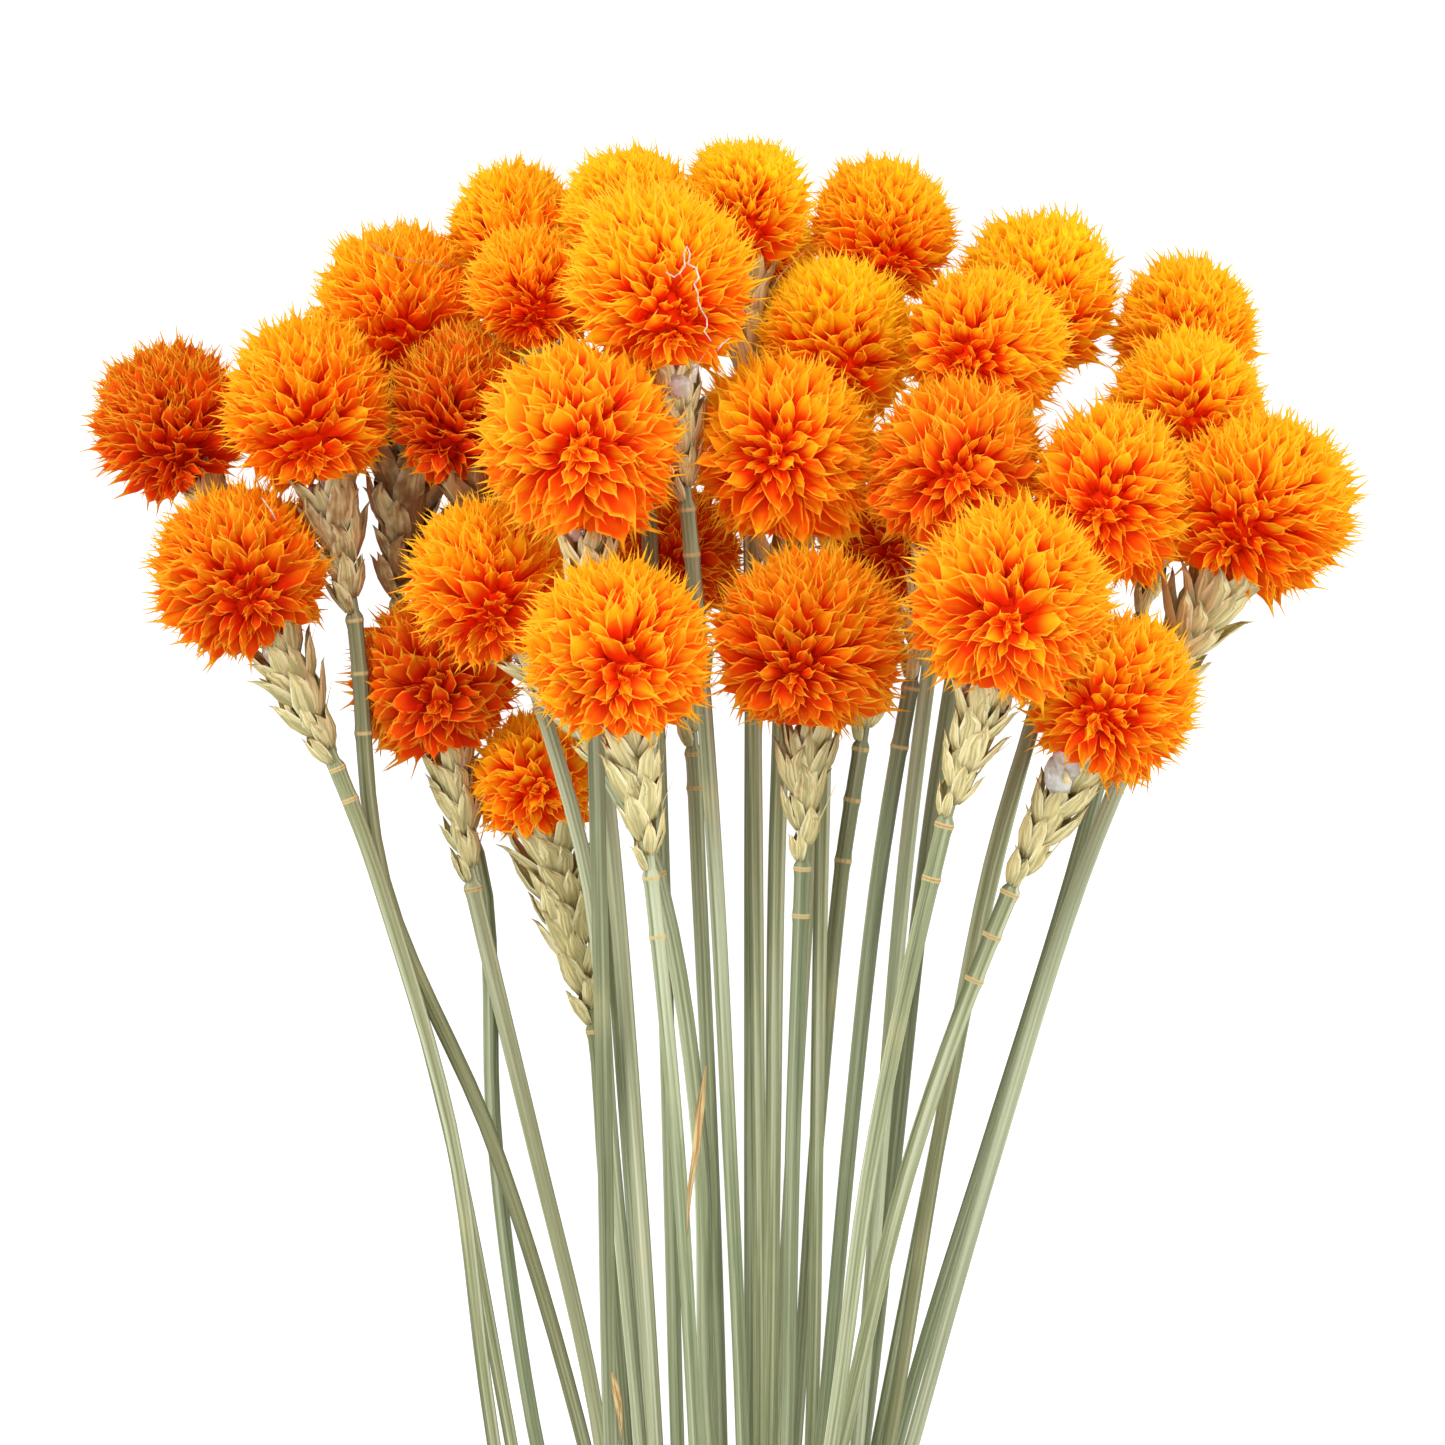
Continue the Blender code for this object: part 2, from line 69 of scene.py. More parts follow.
# Heads: where the scar of the head's own stalk shows, across and along, as a share of the radius,
# and the head's tone from 0, deep red orange, to 4, golden, partly the head's own colour and partly painted
# shade for heads that lie in shade
HEADS = {
    1: (0.24, -0.78, 0), 2: (0.08, -0.74, 2), 3: (0.11, -0.85, 2), 4: (0.28, -0.48, 1),
    5: (-0.30, -0.75, 0), 6: (0.10, -0.85, 3), 7: (0.12, -0.85, 3.5), 8: (0.06, -0.80, 4),
    9: (0.04, -0.80, 3), 10: (0.11, -0.74, 3), 11: (0.05, -0.75, 2), 12: (0.01, -0.16, 1.5),
    13: (0.07, -0.63, 2), 14: (0.11, -0.38, 0), 15: (0.05, -0.30, 2), 16: (0.10, -0.41, 2),
    17: (-0.12, -0.12, 2), 18: (-0.23, -0.50, 1), 19: (0.03, -0.75, 4), 20: (0.05, -0.70, 4),
    21: (0.00, -0.88, 4), 22: (-0.40, -0.35, 3), 23: (0.02, -0.20, 1), 24: (-0.23, -0.30, 2),
    25: (-0.08, -0.30, 2), 26: (-0.30, -0.36, 2), 27: (-0.03, -0.85, 3), 28: (-0.48, -0.58, 2.5),
    29: (-0.13, -0.50, 3), 30: (-0.06, -0.30, 0), 31: (0.04, -0.30, 0),
}
TOP_TONE = 4
# Share of the usual number of bracts on the heads whose bracts are broader
COARSE = {12: 0.72, 16: 0.75, 14: 0.70, 15: 0.65, 13: 0.9}
# Size of the drops of glue that are larger than the rest
LARGE_DROPS = {26: 1.9, 10: 1.5, 2: 1.2}
# Ears that differ from the rest: how wide they spread and how brown they are; the strong brown of the ears at
# the left is painted shade with orange light reflected from the heads
EARS = {
    2: (1.3, 0.40), 3: (2.2, 0.85), 4: (1.3, 0.35), 5: (1.7, 0.85), 14: (1.0, 0.2),
    15: (1.4, 0.1), 16: (1.1, -0.2), 25: (1.1, 0.0), 26: (1.1, -0.1), 28: (1.6, -0.3),
}
# Straws whose upper part runs beside their solid's line: the place of the ear's foot and of the next knot
DETOURS = {3: ((398, 600), (440, 765)), 15: ((594, 1025), (604, 1150))}

# Where glue strings, slivers of leaf and the hair run, in pixels of the photograph
STRINGS = (
    ((666, 272), (674, 277), (680, 273), (685, 266), (684, 254), (687, 246), (690, 254), (688, 264),
     (696, 268), (699, 278), (694, 284), (698, 293), (698, 301), (701, 309), (707, 319), (707, 327),
     (704, 331), (711, 341)),
    ((716, 352), (722, 344), (730, 338)),
    ((1046, 786), (1070, 792), (1092, 780)),
    ((262, 498), (272, 512), (276, 520)),
)
SLIVERS = (
    ((706, 1066), (700, 1110), (696, 1150), (690, 1190), (687, 1236)),
    ((612, 1372), (618, 1400), (622, 1440)),
)
HAIR = ((372, 244), (398, 258), (428, 262), (452, 268))

# Of a bloom's solid, over its radius: the mean reach of its tips, and the distance of its ear from its middle
TIP_SHARE = 0.965
CAD_SEAT = 0.84
# Of a straw's solid: the length of its ear, and the corners of its cross section
EAR_LENGTH = 0.019
EAR_SIDES = 6

# Bracts: the angle between one and the next, and how far from the scar the crown and the broad bracts reach
GOLDEN = math.pi * (3 - math.sqrt(5))
CROWN_REACH = 0.62
BROAD_REACH = 0.7
# Pressing of the bracts: how wide an ear and a passing straw press, the space round a straw,
# and the least height above the floor
EAR_PRESS = 0.0045
STRAW_PRESS = 0.002
STRAW_SPACE = 0.0004
FLOOR_GAP = 0.0004
# A straw's nodes: places across a ring, and how much it stands out in the middle and at its shoulders
RING_PLACES = (-0.0012, -0.0005, 0.0, 0.0005, 0.0012)
RING_SWELL = 1.16
SHOULDER_SWELL = 1.06
# A straw's cut end: the thickness of its wall and the depth of the hollow
WALL = 0.0003
HOLLOW = 0.006
# Angles of the scales in one fan of an ear, and the height under which they bend along the floor
FAN = (-1.3, -0.65, 0.0, 0.65, 1.3)
BEND = 0.0012
# How far a glue string, a sliver or the hair may dip below the highest place that it lies on
DIP = 0.002

# Outlines of scales, as places along them and half widths there over the whole length:
# broad bracts by the scar, narrow bracts elsewhere, chaff and bristles
BROAD_OUTLINE = ((0.0, 0.10), (0.26, 0.16), (0.50, 0.175), (0.66, 0.108), (0.79, 0.028), (1.0, 0.003))
NARROW_OUTLINE = ((0.0, 0.09), (0.32, 0.135), (0.57, 0.118), (0.74, 0.022), (1.0, 0.003))
GLUME_OUTLINE = ((0.0, 0.08), (0.20, 0.15), (0.45, 0.175), (0.70, 0.135), (0.88, 0.055), (1.0, 0.006))
THREAD_OUTLINE = ((0.0, 0.016), (0.3, 0.014), (0.6, 0.011), (1.0, 0.003))
# Round the cross section of a scale: the place across it, and the face, 1 outer and -1 inner
SLIM_SECTION = ((-1, 0), (0, 1), (1, 0), (0, -1))
WEDGE_SECTION = ((-1, 0), (0, 1), (1, 0))

# What every colour's setting shares
COLOUR = {"subtype": "COLOR", "size": 3, "min": 0, "max": 1}


class HeadSettings(bpy.types.PropertyGroup):
    bracts: IntProperty(name="Bracts", description="Bracts of each head", default=960, min=40, max=1200)
    crown: IntProperty(name="Crown", description="Small bracts over the scar", default=80, min=1, max=120)
    crowd: FloatProperty(
        name="Crowd", description="How much closer the bracts stand opposite the scar",
        default=0.22, min=0.01, max=0.99, subtype="FACTOR")
    root: FloatProperty(
        name="Root", description="Radius that bracts grow from over the head's", default=0.64)
    swell: FloatProperty(
        name="Swell", description="How much further out the bracts by the scar grow", default=0.16)
    low: FloatProperty(
        name="Low", description="How far the bracts by the scar stand off the head",
        default=math.radians(21), subtype="ANGLE")
    high: FloatProperty(
        name="High", description="How far the bracts opposite the scar stand off the head",
        default=math.radians(74), subtype="ANGLE")
    give: FloatProperty(
        name="Give", description="How far touching heads press back each other's bracts",
        default=0.55, subtype="FACTOR")
    # Thin and Glow are painted glow: the bracts give off light, standing in for light shining through their
    # thin edges and awns and spreading inside the paper.
    thin: FloatProperty(name="Thin", description="Light that shows through the thin edges", default=0.19)
    glow: FloatProperty(name="Glow", description="Light that spreads inside the papery bracts", default=0.06)
    # Deep is painted shade: the colour the bracts take towards their roots, where they lie between and under
    # others.
    deep: FloatVectorProperty(
        name="Deep", description="Colour between the bracts", default=(0.80, 0.018, 0.0), **COLOUR)
    red: FloatVectorProperty(
        name="Red", description="Colour of the reddest bracts", default=(0.93, 0.054, 0.0), **COLOUR)
    body: FloatVectorProperty(
        name="Body", description="Colour of most bracts", default=(1.0, 0.25, 0.0), **COLOUR)
    gold: FloatVectorProperty(
        name="Gold", description="Colour of the brightest bracts", default=(1.0, 0.60, 0.005), **COLOUR)
    tips: FloatVectorProperty(
        name="Tips", description="Colour of the awns", default=(1.0, 0.50, 0.022), **COLOUR)


class StrawSettings(bpy.types.PropertyGroup):
    sides: IntProperty(name="Sides", description="Faces round a straw", default=14, min=6, max=24)
    flute: FloatProperty(
        name="Flute", description="Depth of a straw's three furrows over its radius", default=0.05)
    levels: IntProperty(name="Levels", description="Fans of scales on each ear", default=8, min=2, max=12)
    step: FloatProperty(name="Step", description="Length of a straw's faces", default=0.006, unit="LENGTH")
    green: FloatVectorProperty(
        name="Green", description="Colour of a straw dried green", default=(0.245, 0.290, 0.150), **COLOUR)
    olive: FloatVectorProperty(
        name="Olive", description="Colour of a straw dried yellow", default=(0.30, 0.29, 0.125), **COLOUR)
    pale: FloatVectorProperty(
        name="Pale", description="Colour of the ribs of a straw", default=(0.69, 0.71, 0.49), **COLOUR)
    tan: FloatVectorProperty(
        name="Tan", description="Colour of the chaff", default=(0.80, 0.67, 0.31), **COLOUR)
    # Brown also stands for painted shade and reflected orange light on the ears listed as brown.
    brown: FloatVectorProperty(
        name="Brown", description="Colour of the nodes and aged parts",
        default=(0.30, 0.125, 0.035), **COLOUR)


class GlueSettings(bpy.types.PropertyGroup):
    drop: FloatProperty(name="Drop", description="Radius of a drop of glue", default=0.0012, unit="LENGTH")
    string: FloatProperty(
        name="String", description="Radius of a string of glue", default=0.00010, unit="LENGTH")


class TrimmingSettings(bpy.types.PropertyGroup):
    sliver: FloatProperty(
        name="Sliver", description="Width of a sliver of leaf", default=0.0012, unit="LENGTH")
    hair: FloatProperty(name="Hair", description="Radius of the hair", default=0.00008, unit="LENGTH")


class TieSettings(bpy.types.PropertyGroup):
    wraps: IntProperty(name="Wraps", description="Wraps of twine round the straws", default=3, min=1, max=6)
    radius: FloatProperty(name="Radius", description="Radius of the twine", default=0.0011, unit="LENGTH")
    plies: IntProperty(name="Plies", description="Strands twisted into the twine", default=3, min=2, max=5)
    twist: FloatProperty(
        name="Twist", description="Length of one turn of the strands", default=0.006, unit="LENGTH")
    twine: FloatVectorProperty(
        name="Twine", description="Colour of the twine", default=(0.47, 0.33, 0.18), **COLOUR)


class StageSettings(bpy.types.PropertyGroup):
    floor: FloatVectorProperty(
        name="Floor", description="Colour of the floor", default=(0.30, 0.30, 0.30), **COLOUR)
    glow: FloatProperty(name="Glow", description="Light that the floor, a light table, gives", default=0.45)
    key: FloatProperty(
        name="Key", description="Light from the top of the picture", default=6.0, unit="POWER")
    side: FloatProperty(
        name="Side", description="Light from the left and the right", default=4.5, unit="POWER")
    fill: FloatProperty(name="Fill", description="Light from beside the camera", default=1.0, unit="POWER")
    sky: FloatProperty(name="Sky", description="Strength of the even light from all round", default=0.60)


def settings(name):
    return getattr(bpy.context.scene, "bouquet_" + name)


def at_pixel(x, y, height):
    """The place that lies under a pixel of the photograph, at a height above the floor."""
    scale = PICTURE_WIDTH / PICTURE_PIXELS * (1 + (PICTURE_MIDDLE.z - height) / CAMERA_REACH)
    right = (x - PICTURE_PIXELS / 2) * scale
    down = (y - PICTURE_PIXELS / 2) * scale
    return Vector((PICTURE_MIDDLE.x + right, PICTURE_MIDDLE.y - down, height))


# What the frame tells: the globes of the blooms and the lines of the straws

def coordinates(mesh):
    flat = np.empty(len(mesh.vertices) * 3)
    mesh.vertices.foreach_get("co", flat)
    return flat.reshape(-1, 3)


def node_points(node):
    return np.unique(coordinates(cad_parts[node].data).round(6), axis=0)


def fitted_globe(points):
    """Centre and radius of the globe that the free tips of a bloom's scales lie on."""
    centre = (points.min(0) + points.max(0)) / 2
    for _ in range(15):
        away = norm(points - centre, axis=1)
        tips = points[away > np.quantile(away, 0.72)]
        table = np.column_stack((2 * tips, np.ones(len(tips))))
        answer = np.linalg.lstsq(table, (tips ** 2).sum(1), rcond=None)[0]
        centre = answer[:3]
        radius = math.sqrt(answer[3] + centre @ centre)
    return centre, radius / TIP_SHARE


def two_groups(points, guesses):
    """Splits the ring of two straws where they part, and gives each guess its nearer half."""
    middle = points.mean(0)
    along = (points - middle) @ np.linalg.svd(points - middle)[2][0]
    order = np.argsort(along)
    half = len(points) // 2
    halves = [points[order[:half]], points[order[half:]]]
    first, second = halves[0].mean(0), halves[1].mean(0)
    costs = [norm(first - guesses[k]) + norm(second - guesses[1 - k]) for k in (0, 1)]
    return halves if costs[0] <= costs[1] else halves[::-1]


def straws_of(node):
    """For each straw in a node: knots from the cut end to the ear's foot, radii there, and the ear's top."""
    numbers = [int(word) for word in node.split("_")[1:]]
    points = node_points(node)
    points = points[np.argsort(points[:, 1])]
    rings = np.split(points, np.flatnonzero(np.diff(points[:, 1]) > 4e-6) + 1)
    straws = {}
    for number in numbers:
        centre, radius = GLOBES[number]
        near = np.argsort(norm(points - centre, axis=1))[:EAR_SIDES]
        top = points[near].mean(0)
        away = (top - centre) / norm(top - centre)
        foot = top + away * EAR_LENGTH
        straws[number] = {"number": number, "top": top, "knots": [foot], "radii": [], "heading": away}
    for ring in reversed(rings):
        level = ring[0, 1]
        if len(ring) < EAR_SIDES:
            continue
        users = [s for s in straws.values() if s["knots"][0][1] > level + 0.004]
        guesses = []
        for s in users:
            last, heading = s["knots"][0], s["heading"]
            guesses.append(last + heading * (level - last[1]) / min(-0.2, heading[1]))
        groups = [ring]
        if len(users) == 2 and len(ring) >= 2 * EAR_SIDES - 2:
            groups = two_groups(ring, guesses)
        elif len(users) == 2:
            gaps = [norm(ring.mean(0) - g) for g in guesses]
            users = [users[int(np.argmin(gaps))]]
        for s, group in zip(users, groups):
            middle = group.mean(0)
            step = middle - s["knots"][0]
            s["heading"] = step / norm(step)
            s["knots"].insert(0, middle)
            s["radii"].insert(0, float(norm(group - middle, axis=1).mean()))
    for number, s in straws.items():
        s["radii"].append(s["radii"][-1])
        if number in DETOURS:
            (x, y), (lower_x, lower_y) = DETOURS[number]
            s["knots"][-1] = np.array(at_pixel(x, y, s["knots"][-1][2]))
            s["knots"][-2] = np.array(at_pixel(lower_x, lower_y, s["knots"][-2][2]))
    return list(straws.values())


GLOBES = {number: fitted_globe(node_points(f"bloom_{number:02d}")) for number in HEADS}
STRAWS = {node: straws_of(node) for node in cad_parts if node.startswith("stem")}
EVERY_STRAW = [straw for straws in STRAWS.values() for straw in straws]


# Lines and sheets

def smooth_line(knots, step):
    """Points about a step apart on a smooth line through the knots."""
    knots = [np.array(k, float) for k in knots]
    spans = [norm(b - a) for a, b in zip(knots, knots[1:])]
    slopes = []
    for i in range(len(knots)):
        low, high = max(i - 1, 0), min(i + 1, len(knots) - 1)
        slopes.append((knots[high] - knots[low]) / sum(spans[low:high]))
    line = []
    for i, span in enumerate(spans):
        count = max(1, round(span / step))
        for k in range(count):
            t = k / count
            line.append(
                knots[i] * (2 * t ** 3 - 3 * t ** 2 + 1) + slopes[i] * span * (t ** 3 - 2 * t ** 2 + t)
                + knots[i + 1] * (3 * t ** 2 - 2 * t ** 3) + slopes[i + 1] * span * (t ** 3 - t ** 2)
            )
    line.append(knots[-1])
    return np.array(line)


def lengths(line):
    return np.concatenate(([0], np.cumsum(norm(np.diff(line, axis=0), axis=1))))


def across(line):
    """Two directions square to a line at each of its points, carried along it without twist."""
    tangents = np.gradient(line, axis=0)
    side = Vector(tangents[0]).orthogonal().normalized()
    pairs = []
    for t in tangents:
        t = Vector(t).normalized()
        side = (side - t * side.dot(t)).normalized()
        pairs.append((side.copy(), t.cross(side)))
    return pairs


def fanned(away, front, spread):
    """The direction at an angle from one direction towards another."""
    return away * math.cos(spread) + front * math.sin(spread)


def new_bm():
    """A mesh under construction, with a map along its grain and one for tints."""
    bm = bmesh.new()
    bm.loops.layers.uv.new("grain")
    bm.loops.layers.uv.new("tint")
    return bm


def loops_of(bm):
    return [loop for face in bm.faces for loop in face.loops]


def new_sheet(columns, rows):
    """A flat sheet from -1 to 1 both ways, with its map."""
    bm = new_bm()
    bmesh.ops.create_grid(bm, x_segments=columns, y_segments=rows, size=1, calc_uvs=True)
    return bm


def tube(line, radii, sides, flute=0.0):
    """A sheet rolled round a line into a tube with closed ends; also returns the faces of the ends."""
    bm = new_sheet(sides, len(line) - 1)
    pairs = across(line)
    for v in bm.verts:
        turn = math.pi * (v.co.x + 1)
        k = round((v.co.y + 1) / 2 * (len(line) - 1))
        side, other = pairs[k]
        reach = float(radii[k]) * (1 + flute * math.cos(3 * turn))
        v.co = Vector(line[k]) + fanned(side, other, turn) * reach
    bmesh.ops.remove_doubles(bm, verts=bm.verts, dist=2e-6)
    ends = bmesh.ops.holes_fill(bm, edges=[e for e in bm.edges if e.is_boundary], sides=0)["faces"]
    bmesh.ops.recalc_face_normals(bm, faces=bm.faces)
    return bm, ends


def scale_shape(name, outline, section, keel, bow, curl, lean, wave, rng):
    """A keeled scale one unit long along Y, its outer side up Z: a sheet rolled flat into a closed shell."""
    rows = len(outline) - 1
    bm = new_sheet(len(section), rows)
    grain = bm.loops.layers.uv["grain"]
    sway, hook = rng.uniform(-1, 1), rng.uniform(-1, 1)
    ruffle = {(side, row): rng.uniform(-1, 1) for side in (-1, 1) for row in range(rows + 1)}
    tips = []
    for v in bm.verts:
        u, face = section[round((v.co.x + 1) / 2 * len(section)) % len(section)]
        row = round((v.co.y + 1) / 2 * rows)
        t, width = outline[row]
        for loop in v.link_loops:
            loop[grain].uv = ((u + 1) / 2, t)
        rise = bow * math.sin(math.pi * min(1, t * 1.1)) + curl * t ** 3 - keel * abs(u) ** 1.6 * width
        rise += face * 0.009 * (1 - 0.6 * t)
        x = u * width + lean * t * t + 0.035 * sway * math.sin(2 * math.pi * t)
        x += 1.1 * hook * max(0.0, t - 0.6) ** 2
        if face == 0:
            rise += ruffle[u, row] * wave * width
            x += u * width * 0.6 * wave * ruffle[-u, row]
        v.co = Vector((x, t, rise))
        if row == rows:
            tips.append(v)
    bmesh.ops.pointmerge(bm, verts=tips, merge_co=Vector((lean + 1.1 * hook * 0.16, 1, curl)))
    bmesh.ops.remove_doubles(bm, verts=bm.verts, dist=1e-5)
    bmesh.ops.holes_fill(bm, edges=[e for e in bm.edges if e.is_boundary], sides=0)
    bmesh.ops.recalc_face_normals(bm, faces=bm.faces)
    for edge in bm.edges:
        sides = [loop[grain].uv.x for first in edge.link_loops for loop in (first, first.link_loop_next)]
        edge.smooth = not (max(sides) < 0.01 or min(sides) > 0.99)
    return mesh_of(bm, name)


def mesh_of(bm, name):
    mesh = bpy.data.meshes.new(name)
    bm.to_mesh(mesh)
    bm.free()
    return mesh


def pour(bm, mesh):
    """Adds a mesh to one under construction and deletes it."""
    bm.from_mesh(mesh)
    bpy.data.meshes.remove(mesh)


def stamp(bm, template, place, tint, material=0):
    """Adds a placed and tinted copy of a template mesh."""
    mesh = template.copy()
    mesh.transform(place)
    mesh.uv_layers["tint"].uv.foreach_set("vector", list(tint) * len(mesh.loops))
    if material:
        mesh.polygons.foreach_set("material_index", [material] * len(mesh.polygons))
    pour(bm, mesh)


def absorb(bm, part, tint=(0.5, 0.0)):
    """Moves a part into a larger mesh, with one tint for all of it unless that is None."""
    if tint:
        layer = part.loops.layers.uv["tint"]
        for loop in loops_of(part):
            loop[layer].uv = tint
    pour(bm, mesh_of(part, "part"))


def placed(origin, along, out, size, wide=1.0):
    """The matrix that sets a scale at an origin, growing one way, its outer side facing another."""
    y = Vector(along).normalized()
    z = Vector(out)
    z = (z - y * z.dot(y)).normalized()
    x = y.cross(z)
    turn = Matrix((x, y, z)).transposed().to_4x4()
    return Matrix.Translation(Vector(origin)) @ turn @ Matrix.Diagonal((size * wide, size, size, 1))


def add_object(name, data):
    added = bpy.data.objects.new(name, data)
    bpy.context.scene.collection.objects.link(added)
    return added


def finish_piece(name, bm, materials, node=None):
    """Makes a mesh an object that rides the bunch and, where a node is given, replaces that solid."""
    mesh = mesh_of(bm, name)
    mesh.shade_smooth()
    for m in materials:
        mesh.materials.append(m)
    piece = add_object(name, mesh)
    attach(piece, "root")
    if node:
        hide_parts(node)
    return piece


# Materials

class Shader:
    """A material under construction: nodes are made and linked by short calls."""

    def __init__(self, name):
        self.material = bpy.data.materials.new(name)
        self.material.use_nodes = True
        self.tree = self.material.node_tree
        self.surface = self.tree.nodes["Principled BSDF"]

    def node(self, kind, inputs=None, output=0, **fields):
        """Adds a node, sets or links its inputs, by place or name, and gives one of its outputs."""
        node = self.tree.nodes.new("ShaderNode" + kind)
        for key, value in fields.items():
            setattr(node, key, value)
        for key, value in (inputs or {}).items():
            self.put(node.inputs[key], value)
        return node.outputs[output]

    def put(self, socket, value):
        if isinstance(value, bpy.types.NodeSocket):
            self.tree.links.new(value, socket)
        elif isinstance(value, (int, float)):
            socket.default_value = value
        else:
            socket.default_value = (*value, 1.0)

    def math(self, operation, a, b=0.0):
        return self.node("Math", {0: a, 1: b}, operation=operation)

    def mix(self, factor, a, b):
        return self.node("Mix", {0: factor, 6: a, 7: b}, 2, data_type="RGBA")

    def smooth(self, value, low, high):
        return self.node("MapRange", {0: value, 1: low, 2: high}, interpolation_type="SMOOTHSTEP")

    def times(self, a, b):
        return self.math("MULTIPLY", a, b)

    def wash(self, colour, other, value, low, high, share=1):
        """Lays another colour over one, up to a share, as a value goes from low to high."""
        factor = self.smooth(value, low, high)
        return self.mix(factor if share == 1 else self.times(factor, share), colour, other)

    def edge(self, side):
        """0 along the middle of a scale and 1 at both of its sides."""
        return self.math("ABSOLUTE", self.math("SUBTRACT", self.times(side, 2.0), 1.0))

    def map(self, name):
        """The two values of a map."""
        split = self.node("SeparateXYZ", {0: self.node("UVMap", uv_map=name)}).node
        return split.outputs[0], split.outputs[1]

    def noise(self, vector, scale, detail=2.0):
        return self.node("TexNoise", {"Vector": vector, "Scale": scale, "Detail": detail})

    def vector(self, x, y, z):
        return self.node("CombineXYZ", {0: x, 1: y, 2: z})

    def bump(self, height, strength, distance):
        inputs = {"Strength": strength, "Distance": distance, "Height": height}
        self.put(self.surface.inputs["Normal"], self.node("Bump", inputs))

    def finish(self, colour, **values):
        self.put(self.surface.inputs["Base Color"], colour)
        for key, value in values.items():
            self.put(self.surface.inputs[key.replace("_", " ")], value)
        return self.material


def blend(a, b, share):
    return tuple(x + (y - x) * share for x, y in zip(a, b))


def bract_material(tone):
    """Papery bracts: deep red towards the root as painted shade between them, orange or gold on the body from
    a tint that carries painted light and shade, pale at edges and awn, with a painted glow.
    """
    look = settings("heads")
    share = tone / TOP_TONE
    sh = Shader(f"bract_{tone}")
    side, along = sh.map("grain")
    tint, _ = sh.map("tint")
    body = blend(look.body, look.gold, share * 2 - 1)
    if share < 0.5:
        body = blend(look.red, look.body, share * 2)
    deep = blend(look.deep, look.red, share * 0.7)
    bright = blend(look.red, look.gold, 0.15 + 0.85 * share)
    # Deeper tones are also darker: painted shade for the heads that lie in shade.
    dim = 0.74 + 0.26 * min(1, share * 2.4)
    body, deep, bright, tips = [blend((0, 0, 0), c, dim) for c in (body, deep, bright, look.tips)]
    edge = sh.edge(side)
    spot = sh.noise(sh.node("TexCoord", output="Object"), 500)
    # Painted light and shade: the tint makes bracts facing the top of the picture, the head's outer side and
    # up more golden, the others redder; noise and a more golden middle are added.
    light_and_tone = sh.math("ADD", tint, sh.times(sh.math("SUBTRACT", spot, 0.5), 0.7))
    light_and_tone = sh.math("ADD", light_and_tone, sh.times(sh.math("SUBTRACT", 0.45, edge), 0.5))
    colour = sh.wash(blend(body, look.red, 0.7), bright, light_and_tone, 0.1, 0.9)
    # Painted shade: towards the root, where the bracts lie under others, the colour goes to the deep red.
    colour = sh.wash(colour, deep, along, 0.66, 0.26)
    pale = sh.wash(blend(body, tips, 0.65), blend(bright, tips, 0.8), light_and_tone, 0.05, 0.75)
    rim = sh.times(sh.smooth(edge, 0.72, 0.97), sh.smooth(along, 0.15, 0.5))
    awn = sh.smooth(along, 0.62, 0.84)
    colour = sh.mix(sh.times(rim, 0.9), colour, pale)
    colour = sh.mix(awn, colour, pale)
    # Painted glow: the rims and awns, and less so the whole bract, give off their own colour as light.
    glow = sh.math("ADD", sh.times(sh.math("MAXIMUM", rim, awn), look.thin), look.glow)
    sh.bump(sh.noise(sh.vector(sh.times(side, 12.0), sh.times(along, 3.0), tint), 1.0), 0.45, 0.0003)
    sh.material.cycles.emission_sampling = "NONE"
    return sh.finish(colour, Roughness=0.7, Specular_IOR_Level=0.06, Emission_Color=colour,
                     Emission_Strength=glow)


def straw_material():
    """Dried straw, green or olive: pale ribs and dark furrows, partly its own streaks and partly painted
    highlight and shade, fine pale streaks, some straws painted darker or lighter as shade and light, marked
    nodes.
    """
    look = settings("straws")
    sh = Shader("straw_dry")
    side, along = sh.map("grain")
    tint, mark = sh.map("tint")
    turn = sh.times(side, 2 * math.pi)
    shift = sh.math("ADD", along, sh.times(tint, 9.0))
    rounds = sh.vector(sh.math("COSINE", turn), sh.math("SINE", turn), shift)
    ribs = sh.noise(rounds, 1.5, 1.0)
    # Painted shade and light: a wave over the tint makes some straws darker and others lighter.
    shade = sh.math("SINE", sh.times(tint, 40.0))
    dark = blend(look.green, (0, 0, 0), 0.62)
    colour = sh.wash(look.green, look.olive, tint, 0.25, 0.95)
    # The ribs' pale and dark streaks are partly the straw's own and partly painted highlight and shade.
    for other, value, low, high, share in (
        (look.pale, ribs, 0.46, 0.74, 0.72),
        (dark, ribs, 0.48, 0.26, 0.75),
        (look.pale, sh.noise(rounds, 8.0, 1.0), 0.50, 0.64, 0.22),
        (dark, shade, 0.0, 1.0, 0.40),
        (look.pale, shade, -0.2, -1.0, 0.30),
        (look.tan, sh.noise(sh.vector(tint, along, 0.0), 5.0), 0.60, 0.85, 0.3),
        (blend(look.tan, look.brown, 0.35), mark, 0.2, 0.5, 1),
        (look.brown, mark, 0.5, 1.0, 1),
    ):
        colour = sh.wash(colour, other, value, low, high, share)
    sh.bump(sh.math("SINE", sh.times(side, 2 * math.pi * 11)), 0.3, 0.0002)
    return sh.finish(colour, Roughness=0.6, Specular_IOR_Level=0.2)


